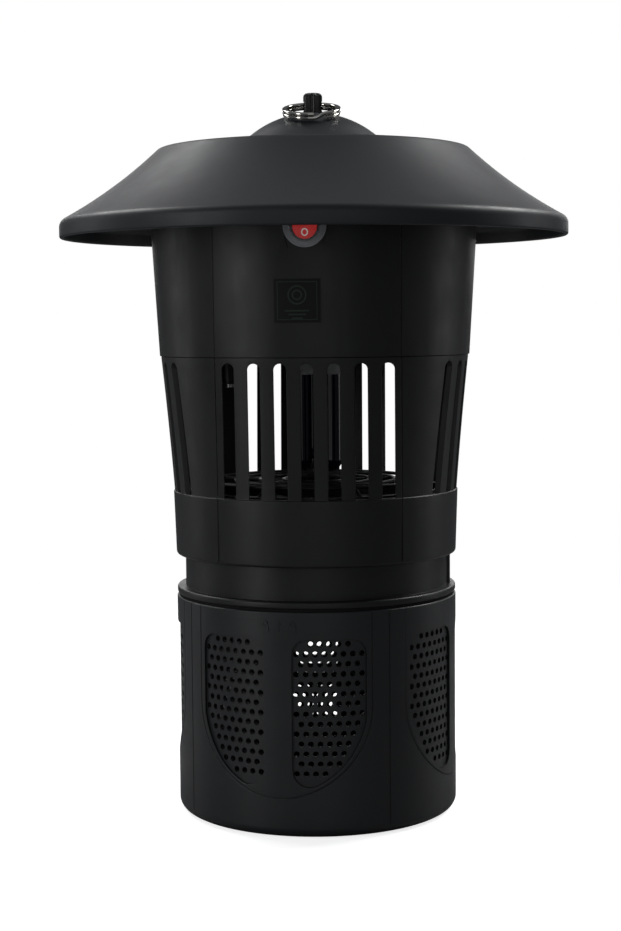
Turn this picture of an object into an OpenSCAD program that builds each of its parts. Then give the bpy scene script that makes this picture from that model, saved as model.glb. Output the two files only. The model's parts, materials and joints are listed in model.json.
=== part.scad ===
// Hanging ultraviolet suction trap for flying insects.
// A wide roof hangs from a ring. Under it a round head holds the switch and the lamp driver,
// a slotted cage surrounds the lamp, a fan in the neck draws insects down, and a perforated
// basket twists off to be emptied. Millimetres, +Z up, front towards -Y, base at z = 0.

/* [Roof] */
// Radius of the roof at its turned-down lip
roof_r = 125.5; // [120:0.5:132]
// Height of the lip's lower edge above the base
lip_z = 284.8; // [282:0.2:286]
// Wall thickness of the roof
roof_wall = 2.2; // [1.8:0.1:2.6]
// Radius of the ridge where the steep skirt begins
ridge_r = 76.5; // [74:0.5:79]
// Height of that ridge above the base
ridge_z = 328.4; // [327:0.2:330]
// Slope of the skirt just under the ridge, in degrees
skirt_top_slope = 43; // [41:0.5:45]
// Slope of the skirt where it meets the lip, in degrees
skirt_low_slope = 29; // [27:0.5:31]
// Height of the top of the central bell
bell_top_z = 346.4; // [345.5:0.1:347]
// Radius of curvature of the bell's crown
bell_curve = 49.3; // [46:0.1:53]
// Slope of the bell's straight flank, in degrees
bell_slope = 37.5; // [36:0.5:39]

/* [Hanger] */
// Radius of the hanger post above the roof
post_r = 4.7; // [4.6:0.1:5]
// Height of the top of the post
post_top_z = 355.9; // [355:0.1:358]
// Height of the cross hole that the ring passes through
ring_hole_z = 349.6; // [349.4:0.1:350]
// Radius of the ring, to the middle of its wire
ring_r = 13.2; // [13:0.1:13.6]
// Angle at which the ring droops to the front, in degrees
ring_droop = 17; // [15:0.5:17]

/* [Head] */
// Radius of the head at its lower edge
head_low_r = 77.1; // [76.8:0.1:78]
// Height of the lower edge of the head
head_z = 227; // [226.8:0.1:227.2]
// Height of the head's closed top
head_top_z = 314; // [313:0.5:315]
// Growth of the head's radius for each millimetre upwards
head_taper = 0.0572; // [0.05:0.001:0.06]
// Wall thickness of the head
head_wall = 2.4; // [2.2:0.1:2.8]
// Height of the middle of the switch
switch_z = 286.9; // [284:0.1:290]
// Height of the middle of the cable gland at the back
gland_z = 262; // [255:1:268]

/* [Cage] */
// Radius of the cage under the head
cage_top_r = 76.5; // [76.2:0.1:76.8]
// Radius of the cage where it meets the collar
cage_low_r = 70.6; // [70.2:0.1:71]
// Height of the collar's upper edge
collar_z = 160.4; // [159.8:0.2:161]
// Height of the collar's lower edge
collar_low_z = 128.6; // [128:0.2:129]
// Width of each inlet slot
slot_w = 6; // [5.6:0.1:7]
// Height of the rounded top of the slots
slot_top_z = 224.2; // [223.4:0.1:224.4]
// Distance between slots, seven to a side
slot_pitch = 12.45; // [12:0.05:12.8]

/* [Fan] */
// Radius of the neck between collar and basket
neck_r = 65.6; // [65:0.1:66]
// Radius of the flange that closes the basket
flange_r = 69.8; // [69.4:0.1:70]
// Radius swept by the fan blades
blade_r = 58.5; // [54:0.5:59]
// Number of fan blades
blades = 7; // [5:1:9]
// Pitch of the fan blades, in degrees
blade_pitch = 32; // [28:1:34]

/* [Lamp] */
// Radius of the lamp's base
lamp_base_r = 14.3; // [13.8:0.1:14.4]
// Radius of each lamp tube
tube_r = 6; // [5.5:0.1:6.2]
// Height of the lower end of the lamp
lamp_low_z = 168.5; // [168:0.5:176]

/* [Basket] */
// Radius of the catch basket
basket_r = 70; // [69.6:0.1:70.2]
// Height of the catch basket
basket_h = 108; // [107.8:0.1:108]
// Wall thickness of the basket
basket_wall = 2.4; // [2.2:0.1:2.6]
// Radius of the rounded bottom edge
basket_fillet = 5; // [4:0.5:6]
// Angle of the basket from its locked position, in degrees
basket_turn = 12.7; // [12:0.1:13]
// Diameter of the perforations
hole_d = 2.8; // [2:0.1:2.8]
// Sideways distance between perforations
hole_pitch = 4.45; // [4.3:0.05:4.6]
// Upwards distance between rows of perforations
row_pitch = 4.75; // [4.6:0.05:4.8]

/* [Hidden] */
$fn = 96;

// Colours
dark_blue_grey = [0.19, 0.20, 0.22];
near_black = [0.10, 0.105, 0.105];
basket_black = [0.14, 0.145, 0.15];
chrome = [0.80, 0.81, 0.82];
light_grey = [0.78, 0.79, 0.78];
board_green = [0.10, 0.33, 0.20];
switch_red = [0.78, 0.10, 0.09];

// Small sizes that many pieces share
seam = 0.2;               // gap left between two covers that meet
line_w = 0.4;             // width of a mould parting line
line_d = 0.25;            // its depth
eps = 0.01;               // overlap that makes a cut clean
quarter = [45, 135, 225, 315];
front_az = -90;           // direction of the front
parting_x = 43.6;         // the front and back mould halves part this far each side

// Head: its radius and inner radius at a height
function head_r(z) = head_low_r + head_taper * (z - head_z);
head_plate = 3;
head_in_top = head_top_z - head_plate;

// Cage: its outer radius at a height, a slightly hollow line from collar to head
cage_top_z = head_z - seam;
cage_h = cage_top_z - collar_z;
cage_lean = 0.0734;
cage_hollow = (cage_top_r - cage_low_r - cage_lean * cage_h) / (cage_h * cage_h);
function cage_r(z) = cage_low_r + cage_lean * (z - collar_z)
    + cage_hollow * (z - collar_z) * (z - collar_z);
cage_wall = 2.4;
ledge_t = 2;              // ledge that carries the head floor
ledge_in_r = 62;
shelf_z = 157.2;          // shelf that carries the fan guard
shelf_t = 2.4;
shelf_in_r = 63.4;
tower_r = 3.9;            // screw towers
tower_at = 66.3;          // their distance from the axis
tower_low_z = 211;        // lower end of the cage's towers
rib_t = 2.4;              // ribs that tie the towers to the wall
m3_r = 1.5;
m3_hole_r = 1.6;

// Points along an arc
function arc(c, r, a0, a1, n) =
    [for (i = [0:n]) let (a = a0 + (a1 - a0) * i / n) [c[0] + r * cos(a), c[1] + r * sin(a)]];
// Points along an arc, each with the direction that its surface faces; a hollow arc faces
// its own centre
function faced(c, r, a0, a1, n, hollow = false) =
    [for (i = [0:n]) let (a = a0 + (a1 - a0) * i / n, s = hollow ? -r : r)
        [c[0] + s * cos(a), c[1] + s * sin(a), a]];
function from_dir(a) = [cos(a), sin(a)];
function reversed(list) = [for (i = [len(list) - 1:-1:0]) list[i]];
function outer_pts(path) = [for (q = path) [q[0], q[1]]];
function inner_pts(path, t) = [for (q = path) [q[0], q[1]] - t * from_dir(q[2])];

// ---------- shared shapes ----------

module ring_tube(r_out, r_in, z0, z1) {
    translate([0, 0, z0]) difference() {
        cylinder(r = r_out, h = z1 - z0);
        translate([0, 0, -1]) cylinder(r = r_in, h = z1 - z0 + 2);
    }
}

module rod(r, z0, z1) {
    translate([0, 0, z0]) cylinder(r = r, h = z1 - z0);
}

module at_each(angles, r) {
    for (a = angles) rotate([0, 0, a]) translate([r, 0, 0]) children();
}

// Pan-head screw that enters upwards or downwards from its seat
module screw(r, length, seat_z, up = true) {
    pan_r = r * 1.9;
    pan_h = r * 1.1;
    translate([0, 0, seat_z]) mirror([0, 0, up ? 0 : 1]) difference() {
        union() {
            cylinder(r = r, h = length);
            translate([0, 0, -pan_h]) cylinder(r = pan_r, h = pan_h);
        }
        for (a = [0, 90]) rotate([0, 0, a])
            translate([-pan_r * 0.55, -r * 0.2, -pan_h - 1])
                cube([pan_r * 1.1, r * 0.4, 1 + pan_h * 0.5]);
    }
}

// Thin upright cutters for the parting lines of head and cage, square to the front
module parting_planes(z0, z1) {
    for (s = [-1, 1])
        translate([s * parting_x - line_w / 2, -100, z0]) cube([line_w, 200, z1 - z0]);
}

// Round-sided lead swept along a list of points; its sides are set out from a direction that
// the lead never runs in
module lead(pts, r, clear_dir, sides = 8) {
    last = len(pts) - 1;
    dirs = [for (i = [0:last]) let (d = pts[min(i + 1, last)] - pts[max(i - 1, 0)]) d / norm(d)];
    rings = [for (i = [0:last]) let (
            d = dirs[i],
            u0 = cross(d, clear_dir),
            u = u0 / norm(u0),
            v = cross(d, u))
        for (k = [0:sides - 1]) pts[i] + r * (cos(k * 360 / sides) * u + sin(k * 360 / sides) * v)];
    walls = [for (i = [0:last - 1], k = [0:sides - 1]) let (n = (k + 1) % sides)
        [i * sides + k, i * sides + n, (i + 1) * sides + n, (i + 1) * sides + k]];
    start_cap = [for (k = [sides - 1:-1:0]) k];
    end_cap = [for (k = [0:sides - 1]) last * sides + k];
    polyhedron(points = rings, faces = concat([start_cap], walls, [end_cap]), convexity = 6);
}
// A smooth curve through a few points chosen by hand
function blend_pt(p, t) = 0.5 * ((2 * p[1]) + (p[2] - p[0]) * t
    + (2 * p[0] - 5 * p[1] + 4 * p[2] - p[3]) * t * t
    + (3 * p[1] - p[0] - 3 * p[2] + p[3]) * t * t * t);
function curve(pts, n) = let (m = len(pts) - 1) concat(
    [for (i = [0:m - 1], k = [0:n - 1]) blend_pt(
        [pts[max(i - 1, 0)], pts[i], pts[i + 1], pts[min(i + 2, m)]], k / n)], [pts[m]]);

// ---------- roof and hanger ----------

ridge_face = 91.5;        // the dished top faces slightly inwards
skirt_curve = 231;        // radius of the skirt's hollow sweep
lip_curve = 6.8;
foot_curve = 5;
ridge_curve = 3.5;
bell_c = [0, bell_top_z - bell_curve];
bell_face = 90 - bell_slope;
bell_edge = bell_c + bell_curve * from_dir(bell_face);
dish_dir = from_dir(ridge_face - 90);
ridge = [ridge_r, ridge_z];
// The flank of the bell meets the dished top here
flank_dir = from_dir(-bell_slope);
cross_f = flank_dir[0] * dish_dir[1] - flank_dir[1] * dish_dir[0];
to_ridge = ridge - bell_edge;
flank_len = (to_ridge[0] * dish_dir[1] - to_ridge[1] * dish_dir[0]) / cross_f;
foot = bell_edge + flank_len * flank_dir;
foot_t = foot_curve * tan((ridge_face - bell_face) / 2);
foot_c = foot + foot_t * dish_dir + foot_curve * from_dir(ridge_face);
ridge_t = ridge_curve * tan((ridge_face - 90 + skirt_top_slope) / 2);
ridge_c = ridge - ridge_t * dish_dir - ridge_curve * from_dir(ridge_face);
skirt_face0 = 90 - skirt_top_slope;
skirt_face1 = 90 - skirt_low_slope;
skirt_start = ridge_c + ridge_curve * from_dir(skirt_face0);
skirt_c = skirt_start + skirt_curve * from_dir(skirt_face0);
skirt_end = skirt_c - skirt_curve * from_dir(skirt_face1);
// The lip closes the distance that is left to the roof's full radius
lip_round = (roof_r - skirt_end[0]) / (1 - cos(skirt_face1));
lip_c = skirt_end - lip_round * from_dir(skirt_face1);
roof_path = concat(
    faced(bell_c, bell_curve, 90, bell_face, 8),
    faced(foot_c, foot_curve, bell_face, ridge_face, 4, true),
    faced(ridge_c, ridge_curve, ridge_face, skirt_face0, 6),
    faced(skirt_c, skirt_curve, skirt_face0 + 1, skirt_face1 - 1, 8, true),
    faced(lip_c, lip_round, skirt_face1, 0, 10));
lip_end = [roof_r - roof_wall / 2, lip_z + roof_wall / 2];
roof_screw_at = 58;
roof_boss_r = 4.5;
stem_r = 4;
stem_hole_r = 4.1;

module roof_canopy() {
    color(dark_blue_grey) difference() {
        union() {
            rotate_extrude() polygon(concat(outer_pts(roof_path),
                arc(lip_end, roof_wall / 2, 0, -180, 6),
                reversed(inner_pts(roof_path, roof_wall))));
            at_each(quarter, roof_screw_at)
                rod(roof_boss_r, head_top_z, ridge_z - roof_wall / 2);
            rod(9, head_top_z, bell_top_z - roof_wall);
        }
        rod(stem_hole_r, head_top_z - 1, bell_top_z + 1);
        at_each(quarter, roof_screw_at) rod(m3_hole_r, head_top_z - 1, head_top_z + 9);
    }
}

module roof_screws() {
    color(chrome) at_each(quarter, roof_screw_at) screw(m3_r, 11, head_in_top);
}

post_seat_z = bell_top_z - 0.1;
stem_low_z = head_in_top - 11;
module hanger_post() {
    crown = 1.8;
    color(near_black) difference() {
        rotate_extrude() polygon(concat(
            [[0, stem_low_z], [stem_r - 0.6, stem_low_z], [stem_r, stem_low_z + 0.6],
             [stem_r, post_seat_z], [post_r, post_seat_z]],
            arc([post_r - crown, post_top_z - crown], crown, 0, 90, 6),
            [[0, post_top_z]]));
        translate([-10, 0, ring_hole_z]) rotate([0, 90, 0]) cylinder(r = ring_hole_r, h = 20);
    }
}

washer_t = 1.6;
nut_h = 6.4;
module hanger_washer() {
    color(chrome) ring_tube(8.5, stem_hole_r, head_in_top - washer_t, head_in_top);
}
module hanger_nut() {
    color(chrome) difference() {
        translate([0, 0, head_in_top - washer_t - nut_h]) cylinder(r = 7.5, h = nut_h, $fn = 6);
        rod(stem_r + 0.02, stem_low_z, head_top_z);
    }
}

// A split ring: two flat turns of wire, one on the other
turn_r = 0.95;
turn_half = 0.3;
turn_at = 0.9;
ring_hole_r = 2.5;
ring_reach = ring_r - 0.43;   // ring centre from the middle of the cross hole
module hanging_ring() {
    color(chrome) translate([0, 0, ring_hole_z]) rotate([ring_droop, 0, 0])
        translate([0, -ring_reach, 0]) rotate_extrude() union() {
            for (side = [-1, 1]) translate([ring_r, side * turn_at]) {
                translate([-turn_half, 0]) circle(r = turn_r, $fn = 32);
                translate([turn_half, 0]) circle(r = turn_r, $fn = 32);
                translate([-turn_half, -turn_r]) square([2 * turn_half, 2 * turn_r]);
            }
        }
}

// ---------- head ----------

head_fillet = 2.5;
switch_seat_y = -(head_r(switch_z) - 0.66);
switch_rim_r = 10;
gland_seat_y = head_r(gland_z) - 1.2;
gland_thread_r = 6;
floor_top_z = head_z + 2.4;
tower_top_z = floor_top_z + 16;

module head_skin(depth) {
    rotate_extrude() polygon([[head_r(head_z) - depth, head_z - 1], [head_r(head_z) + 2, head_z - 1],
        [head_r(head_top_z) + 2, head_top_z - head_fillet],
        [head_r(head_top_z) - depth, head_top_z - head_fillet]]);
}

module head_shell() {
    top_r = head_r(head_top_z);
    color(near_black) difference() {
        union() {
            rotate_extrude() polygon(concat(
                [[head_r(head_z) - head_wall, head_z], [head_r(head_z), head_z]],
                arc([top_r - head_fillet, head_top_z - head_fillet], head_fillet, 3, 90, 6),
                [[0, head_top_z], [0, head_in_top], [top_r - head_wall, head_in_top]]));
            intersection() {
                for (a = quarter) rotate([0, 0, a]) {
                    translate([tower_at, 0, 0]) rod(tower_r, floor_top_z, tower_top_z);
                    translate([tower_at, -rib_t / 2, spigot_z + 0.5])
                        cube([16, rib_t, tower_top_z - spigot_z - 0.5]);
                }
                rod(head_r(floor_top_z) - head_wall / 2, floor_top_z - 1, tower_top_z + 1);
            }
        }
        rod(stem_hole_r, head_in_top - 1, head_top_z + 1);
        at_each(quarter, roof_screw_at) rod(m3_hole_r, head_in_top - 1, head_top_z + 1);
        at_each(quarter, tower_at) rod(m3_hole_r, floor_top_z - 1, tower_top_z - 2);
        translate([0, 0, switch_z]) rotate([90, 0, 0]) cylinder(r = switch_barrel_r + 0.1, h = 100);
        translate([0, switch_seat_y, switch_z]) rotate([90, 0, 0])
            cylinder(r = switch_rim_r + 0.1, h = 10);
        translate([0, 0, gland_z]) rotate([-90, 0, 0]) cylinder(r = gland_thread_r + 0.1, h = 100);
        translate([0, gland_seat_y, gland_z]) rotate([-90, 0, 0]) cylinder(r = 9.2, h = 10);
        intersection() {
            head_skin(line_d);
            parting_planes(head_z - 1, head_top_z - 4);
        }
    }
}

holder_screw_at = 24;
module head_floor() {
    color(near_black) difference() {
        union() {
            rod(71.8, head_z, floor_top_z);
            for (p = board_posts) translate(p) rod(3.2, floor_top_z - eps, board_z);
        }
        rod(lamp_base_r + 0.5, head_z - 1, floor_top_z + 1);
        at_each(quarter, tower_at) rod(m3_hole_r, head_z - 1, floor_top_z + 1);
        at_each([0, 180], holder_screw_at) rod(1.25, head_z - 1, floor_top_z + 1);
        translate([lead_hole[0], lead_hole[1], 0]) rod(2.2, head_z - 1, floor_top_z + 1);
        for (p = board_posts) translate(p) rod(1.25, head_z + 1.5, board_z + 1);
    }
}

label_w = 15.6;           // width, in degrees around the head
label_h = 20;
label_mid_z = 253;
label_shift = -2.8;       // degrees off the front centre
label_t = 0.5;
label_glue = 0.12;        // the film stands off the wall by its glue
module label_plate() {
    z0 = label_mid_z - label_h / 2;
    z1 = label_mid_z + label_h / 2;
    color([0.03, 0.04, 0.035]) rotate([0, 0, front_az + label_shift - label_w / 2])
        rotate_extrude(angle = label_w) polygon([[head_r(z0) + label_glue, z0],
            [head_r(z0) + label_t, z0], [head_r(z1) + label_t, z1], [head_r(z1) + label_glue, z1]]);
}

// Round rocker switch: barrel through the wall, flange outside, clear boot over it
switch_barrel_r = 7.9;
switch_rim_t = 1.5;
rocker_r = 5.6;
rocker_gap = 0.5;
pin_r = 0.9;
pin_gap = 0.1;
rocker_depth = 1.4;       // the rocker's pins lie this far inside the wall
rocker_pivot_y = switch_seat_y + rocker_depth;
pin_reach = 6.9;
rocker_throw = 8;
module along_switch() {
    translate([0, switch_seat_y, switch_z]) rotate([90, 0, 0]) children();
}
module switch_body() {
    color(near_black) along_switch() difference() {
        union() {
            cylinder(r = switch_rim_r, h = switch_rim_t);
            translate([0, 0, -18]) cylinder(r = switch_barrel_r, h = 18 + eps);
        }
        translate([0, 0, -7]) cylinder(r = rocker_r + rocker_gap, h = 12);
        translate([0, 0, -rocker_depth]) rotate([0, 90, 0])
            cylinder(r = pin_r + pin_gap, h = 2 * pin_reach + 0.4, center = true);
    }
}
module switch_rocker() {
    reach = 4.6;
    valley = 3.5;
    root = 2.6;
    color(switch_red) translate([0, rocker_pivot_y, switch_z]) rotate([rocker_throw, 0, 0]) union() {
        intersection() {
            translate([0, root, 0]) rotate([90, 0, 0]) cylinder(r = rocker_r, h = 10);
            translate([-10, 0, 0]) rotate([90, 0, 90]) linear_extrude(20)
                polygon([[root, -2.4], [0.4, -7], [-reach, -7], [-valley, 0], [-reach, 7],
                         [0.4, 7], [root, 2.4]]);
        }
        rotate([0, 90, 0]) cylinder(r = pin_r, h = 2 * pin_reach, center = true);
    }
}
module switch_boot() {
    wall = 0.7;
    dome_r = 7.5;
    base = switch_rim_t;
    flange_t = 0.9;
    top = 6.2;
    bend = 2.4;
    color([0.86, 0.88, 0.90, 0.35]) along_switch() rotate_extrude() polygon(concat(
        [[dome_r - wall, base + 0.02], [switch_rim_r - 0.05, base + 0.02],
         [switch_rim_r - 0.05, base + flange_t], [dome_r, base + flange_t]],
        arc([dome_r - bend, top - bend], bend, 0, 90, 6), [[0, top], [0, top - wall]],
        arc([dome_r - bend, top - bend], bend - wall, 90, 0, 6)));
}
module switch_terminals() {
    color(chrome) along_switch() for (s = [-1, 1])
        translate([-2.4, s * 3.5 - 0.4, -26]) cube([4.8, 0.8, 8]);
}

module along_gland() {
    translate([0, gland_seat_y, gland_z]) rotate([-90, 0, 0]) children();
}
gland_bore_r = 3.5;
module cable_gland() {
    color(near_black) along_gland() difference() {
        union() {
            cylinder(r = 9, h = 3.5);
            translate([0, 0, 3.5 - eps]) rotate_extrude() polygon(concat([[0, 0], [8, 0], [8, 6]],
                arc([5.5, 8.5], 2.2, 0, 90, 5), [[0, 10.7]]));
            translate([0, 0, -10]) cylinder(r = gland_thread_r, h = 10 + eps);
        }
        translate([0, 0, -11]) cylinder(r = gland_bore_r, h = 30);
        for (a = [0:60:300]) rotate([0, 0, a]) translate([7.4, -1, 4.6]) cube([3, 2, 5]);
    }
}
module gland_nut() {
    color(near_black) along_gland() difference() {
        translate([0, 0, -head_wall - 3.5]) cylinder(r = 10, h = 4, $fn = 6);
        translate([0, 0, -20]) cylinder(r = gland_thread_r + 0.05, h = 30);
    }
}

// Lamp driver, on posts at the back of the head floor
board_z = floor_top_z + 6;
board_w = 72;
board_d = 34;
board_y = 24;             // front edge of the board
board_t = 1.6;
board_posts = [for (x = [-1, 1], y = [0, 1])
    [x * (board_w / 2 - 4), board_y + 4 + y * (board_d - 8), 0]];
board_top_z = board_z + board_t;
module driver_board() {
    color(board_green) difference() {
        translate([-board_w / 2, board_y, board_z]) cube([board_w, board_d, board_t]);
        for (p = board_posts) translate(p) rod(1.5, board_z - 1, board_top_z + 1);
    }
}
module board_screws() {
    color(chrome) for (p = board_posts) translate(p) screw(1.2, 6.5, board_top_z, false);
}
module driver_transformer() {
    color([0.75, 0.65, 0.25]) translate([-22, board_y + 6, board_top_z]) difference() {
        union() {
            cube([20, 22, 16]);
            translate([3, -2, 3]) cube([14, 26, 10]);
        }
        translate([-1, 9.5, 13]) cube([22, 3, 4]);
    }
}
module driver_capacitors() {
    color([0.12, 0.14, 0.22]) for (p = [[5, 10, 12], [16, 10, 12], [8, 22, 9], [19, 23, 7]])
        translate([p[0], board_y + p[1], board_top_z]) difference() {
            cylinder(r = p[2] * 0.4, h = p[2]);
            translate([0, 0, p[2] - 0.5]) for (a = [0, 90]) rotate([0, 0, a])
                translate([-p[2] * 0.3, -0.25, 0]) cube([p[2] * 0.6, 0.5, 1]);
        }
}
module terminal_block() {
    color([0.16, 0.36, 0.62]) translate([-29.3, board_y + 1, board_top_z]) difference() {
        cube([7, 15, 9]);
        for (i = [0:2]) translate([3.5, 2.5 + i * 5, -1]) {
            translate([0, 0, 6]) cylinder(r = 1.7, h = 5);
            translate([-5, -1.5, 2.5]) cube([6, 3, 3]);
        }
    }
}

// ---------- lamp ----------

holder_top_z = floor_top_z + 17;
tube_at = 7.4;
lamp_base_low_z = 217.3;
module lamp_holder() {
    color(light_grey) difference() {
        union() {
            rod(18.5, floor_top_z, holder_top_z);
            for (s = [-1, 1]) translate([s * holder_screw_at, 0, 0]) rod(5, floor_top_z, floor_top_z + 3);
            translate([-holder_screw_at, -5, floor_top_z]) cube([2 * holder_screw_at, 10, 3]);
        }
        rod(lamp_base_r + 0.3, floor_top_z - 1, holder_top_z - 6);
        for (s = [-1, 1]) {
            translate([s * 5, 0, 0]) rod(1.25, holder_top_z - 10, holder_top_z + 1);
            translate([s * holder_screw_at, 0, 0]) rod(1.35, floor_top_z - 1, floor_top_z + 4);
        }
    }
}
module holder_screws() {
    color(chrome) at_each([0, 180], holder_screw_at) screw(1.2, 5, floor_top_z + 3, false);
}
module lamp_base() {
    rim = 1.5;
    top = holder_top_z - 6.2;
    color(light_grey) difference() {
        rotate_extrude() polygon(concat(
            [[0, top], [0, lamp_base_low_z]],
            arc([lamp_base_r - rim, lamp_base_low_z + rim], rim, -90, 0, 4),
            [[lamp_base_r, head_z - 2], [lamp_base_r, top - 1], [lamp_base_r - 1, top]]));
        for (s = [-1, 1]) translate([s * tube_at, 0, 0])
            rod(tube_r + 0.15, lamp_base_low_z - 1, lamp_base_low_z + 6);
    }
}
// Two tubes with domed ends, joined by a short bridge near the bottom
module lamp_tubes() {
    dome = lamp_low_z + tube_r;
    bridge_z = dome + 3;
    color([0.10, 0.07, 0.17, 0.6]) union() {
        for (s = [-1, 1]) translate([s * tube_at, 0, 0]) {
            rod(tube_r, dome, lamp_base_low_z + 5.8);
            translate([0, 0, dome]) sphere(r = tube_r);
        }
        translate([-tube_at, 0, bridge_z]) rotate([0, 90, 0]) cylinder(r = 2.6, h = 2 * tube_at);
    }
}
module lamp_pins() {
    color([0.78, 0.66, 0.35]) for (s = [-1, 1]) translate([s * 5, 0, 0])
        rod(1.15, holder_top_z - 6.2, holder_top_z - 0.8);
}

// ---------- leads inside the head and down to the motor ----------

lead_hole = [-40.5, 42];
function switch_lead_pts(s) = [[0, switch_seat_y + 27, switch_z + s * 3.5],
    [-4, switch_seat_y + 34, switch_z + s * 3.2 - 2], [-20, -34, 272 + s * 2],
    [-34, -14, 254 + s * 2], [-37, 6, board_top_z + 9 + s * 2],
    [-36, board_y + 6 + s * 2.5, board_top_z + 5 + s],
    [-31.5, board_y + 6 + s * 2.5, board_top_z + 4]];
module switch_leads() {
    color([0.55, 0.12, 0.10]) for (s = [-1, 1]) lead(curve(switch_lead_pts(s), 4), 0.9, [0.4, 0.3, 1]);
}
function lamp_lead_pts(s) = [[s * 5, 0, holder_top_z + 0.2], [s * 5, 1, holder_top_z + 5],
    [s * 4 - 4, 12, holder_top_z + 9], [s * 3 - 10, 22, holder_top_z + 12],
    [s * 3 - 12, board_y + 8, board_top_z + 18.5], [s * 3 - 12, board_y + 9, board_top_z + 16.3]];
module lamp_leads() {
    color(light_grey) for (s = [-1, 1]) lead(curve(lamp_lead_pts(s), 4), 0.9, [1, 0, 0]);
}
lead_drop = [-42, 44.5];
motor_lead_pts = concat([[-34, 34, board_z - 2.5], [-39, 39, board_z - 3],
    [lead_hole[0], lead_hole[1], head_z + 1], [-41, 43.5, head_z - 10]],
    [for (z = [205, 180, 164, 150, 134]) [lead_drop[0], lead_drop[1], z]],
    [[-38, 41, 130], [-24, 27, 129], [-15, 16, 129], [-11.6, 11.6, 129]]);
module motor_lead() {
    color(light_grey) lead(curve(motor_lead_pts, 4), 1.2, [1, 1, 0]);
}

// ---------- cage ----------

collar_top_r = cage_low_r + 0.5;
collar_low_r = cage_low_r - 0.5;
collar_in_r = 67.6;
spigot_z = head_z + 4;
cage_steps = 8;
module cage_outline(depth = 0, over = 0) {
    edge = 1.4;
    outer = [for (i = [0:cage_steps]) let (z = collar_z + cage_h * i / cage_steps) [cage_r(z), z]];
    polygon(concat(
        [[collar_in_r, collar_low_z]],
        arc([collar_low_r - edge, collar_low_z + edge], edge, -90, 0, 4),
        [[collar_top_r, collar_z - 0.5], [collar_top_r - 0.5, collar_z]],
        outer,
        [[74.3, cage_top_z], [74.3, spigot_z], [72, spigot_z], [72, head_z],
         [ledge_in_r, head_z], [ledge_in_r, head_z - ledge_t]],
        [for (i = [cage_steps:-1:0]) let (z = collar_z + (cage_h - ledge_t) * i / cage_steps)
            [cage_r(z) - cage_wall, z]],
        [[cage_low_r - cage_wall, shelf_z + shelf_t], [shelf_in_r, shelf_z + shelf_t],
         [shelf_in_r, shelf_z], [collar_in_r, shelf_z]]));
}
// A slot cut straight through the wall towards -Y: parallel sides and a round top
module slot_cutter() {
    half = slot_w / 2;
    translate([-half, -90, collar_z]) cube([slot_w, 46, slot_top_z - half - collar_z]);
    translate([0, -44, slot_top_z - half]) rotate([90, 0, 0]) cylinder(r = half, h = 46);
}
module inlet_cage() {
    color(near_black) difference() {
        union() {
            rotate_extrude() cage_outline();
            intersection() {
                for (a = quarter) rotate([0, 0, a]) {
                    translate([tower_at, 0, 0]) rod(tower_r, tower_low_z, head_z - ledge_t + 0.5);
                    translate([tower_at, -rib_t / 2, tower_low_z])
                        cube([16, rib_t, head_z - ledge_t + 0.5 - tower_low_z]);
                }
                rod(cage_r(tower_low_z) - cage_wall / 2, tower_low_z - 1, head_z);
            }
        }
        for (turn = [0:90:270], i = [-3:3]) rotate([0, 0, turn])
            translate([i * slot_pitch, 0, 0]) slot_cutter();
        at_each(quarter, tower_at) rod(m3_hole_r, tower_low_z - 1, head_z + 1);
        at_each(quarter, duct_screw_at) rod(m25_hole_r, shelf_z - 1, shelf_z + shelf_t + 1);
        intersection() {
            rotate_extrude() difference() {
                translate([40, collar_low_z - 1]) square([50, cage_top_z - collar_low_z + 2]);
                polygon(concat([[30, collar_low_z - 2], [collar_low_r - line_d, collar_low_z - 2],
                    [collar_top_r - line_d, collar_z]],
                    [for (i = [0:cage_steps]) let (z = collar_z + cage_h * i / cage_steps)
                        [cage_r(z) - line_d, z]], [[30, cage_top_z + 2]]));
            }
            parting_planes(collar_low_z - 1, cage_top_z + 1);
        }
    }
}
module cage_screws() {
    color(chrome) at_each(quarter, tower_at) screw(m3_r, 30, tower_low_z);
}

// ---------- fan ----------

m25_r = 1.2;
m25_hole_r = 1.3;
duct_screw_at = 65.5;
duct_in_r = 63.2;
duct_out_r = 67.4;
duct_top_z = shelf_z;
flange_top_z = 112.6;
flange_low_z = 109.2;
spigot_low_z = 101;
spigot_r = 64.9;
lug_z = 101.2;
lug_h = 2.4;
lug_r = 66.9;
lug_span = 12;
neck_rib_r = 67.2;        // the rib at the neck's right stands out to here
neck_rib_w = 5;
mount_seat_z = 112;
mount_seat_r = 60.5;
module fan_duct() {
    edge = 1;
    color(near_black) difference() {
        union() {
            rotate_extrude() polygon(concat(
                [[duct_in_r, duct_top_z], [duct_in_r, mount_seat_z], [mount_seat_r, mount_seat_z],
                 [mount_seat_r, mount_seat_z - 2], [duct_in_r, mount_seat_z - 3.5],
                 [duct_in_r, spigot_low_z], [spigot_r, spigot_low_z], [spigot_r, flange_low_z]],
                arc([flange_r - edge, flange_low_z + edge], edge, -90, 0, 4),
                arc([flange_r - edge, flange_top_z - edge], edge, 0, 90, 4),
                [[neck_r, flange_top_z], [neck_r, collar_low_z], [duct_out_r, collar_low_z],
                 [duct_out_r, duct_top_z]]));
            for (a = quarter) rotate([0, 0, a - lug_span / 2]) rotate_extrude(angle = lug_span)
                translate([spigot_r - 0.6, lug_z]) square([lug_r - spigot_r + 0.6, lug_h]);
            translate([neck_r - 1, -neck_rib_w / 2, flange_top_z - 0.5])
                cube([neck_rib_r - neck_r + 1, neck_rib_w, collar_low_z - flange_top_z + 1]);
        }
        at_each(quarter, duct_screw_at) rod(m25_hole_r, duct_top_z - 12, duct_top_z + 1);
    }
}
module duct_screws() {
    color(chrome) at_each(quarter, duct_screw_at)
        screw(m25_r, 13, shelf_z + shelf_t, false);
}

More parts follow.
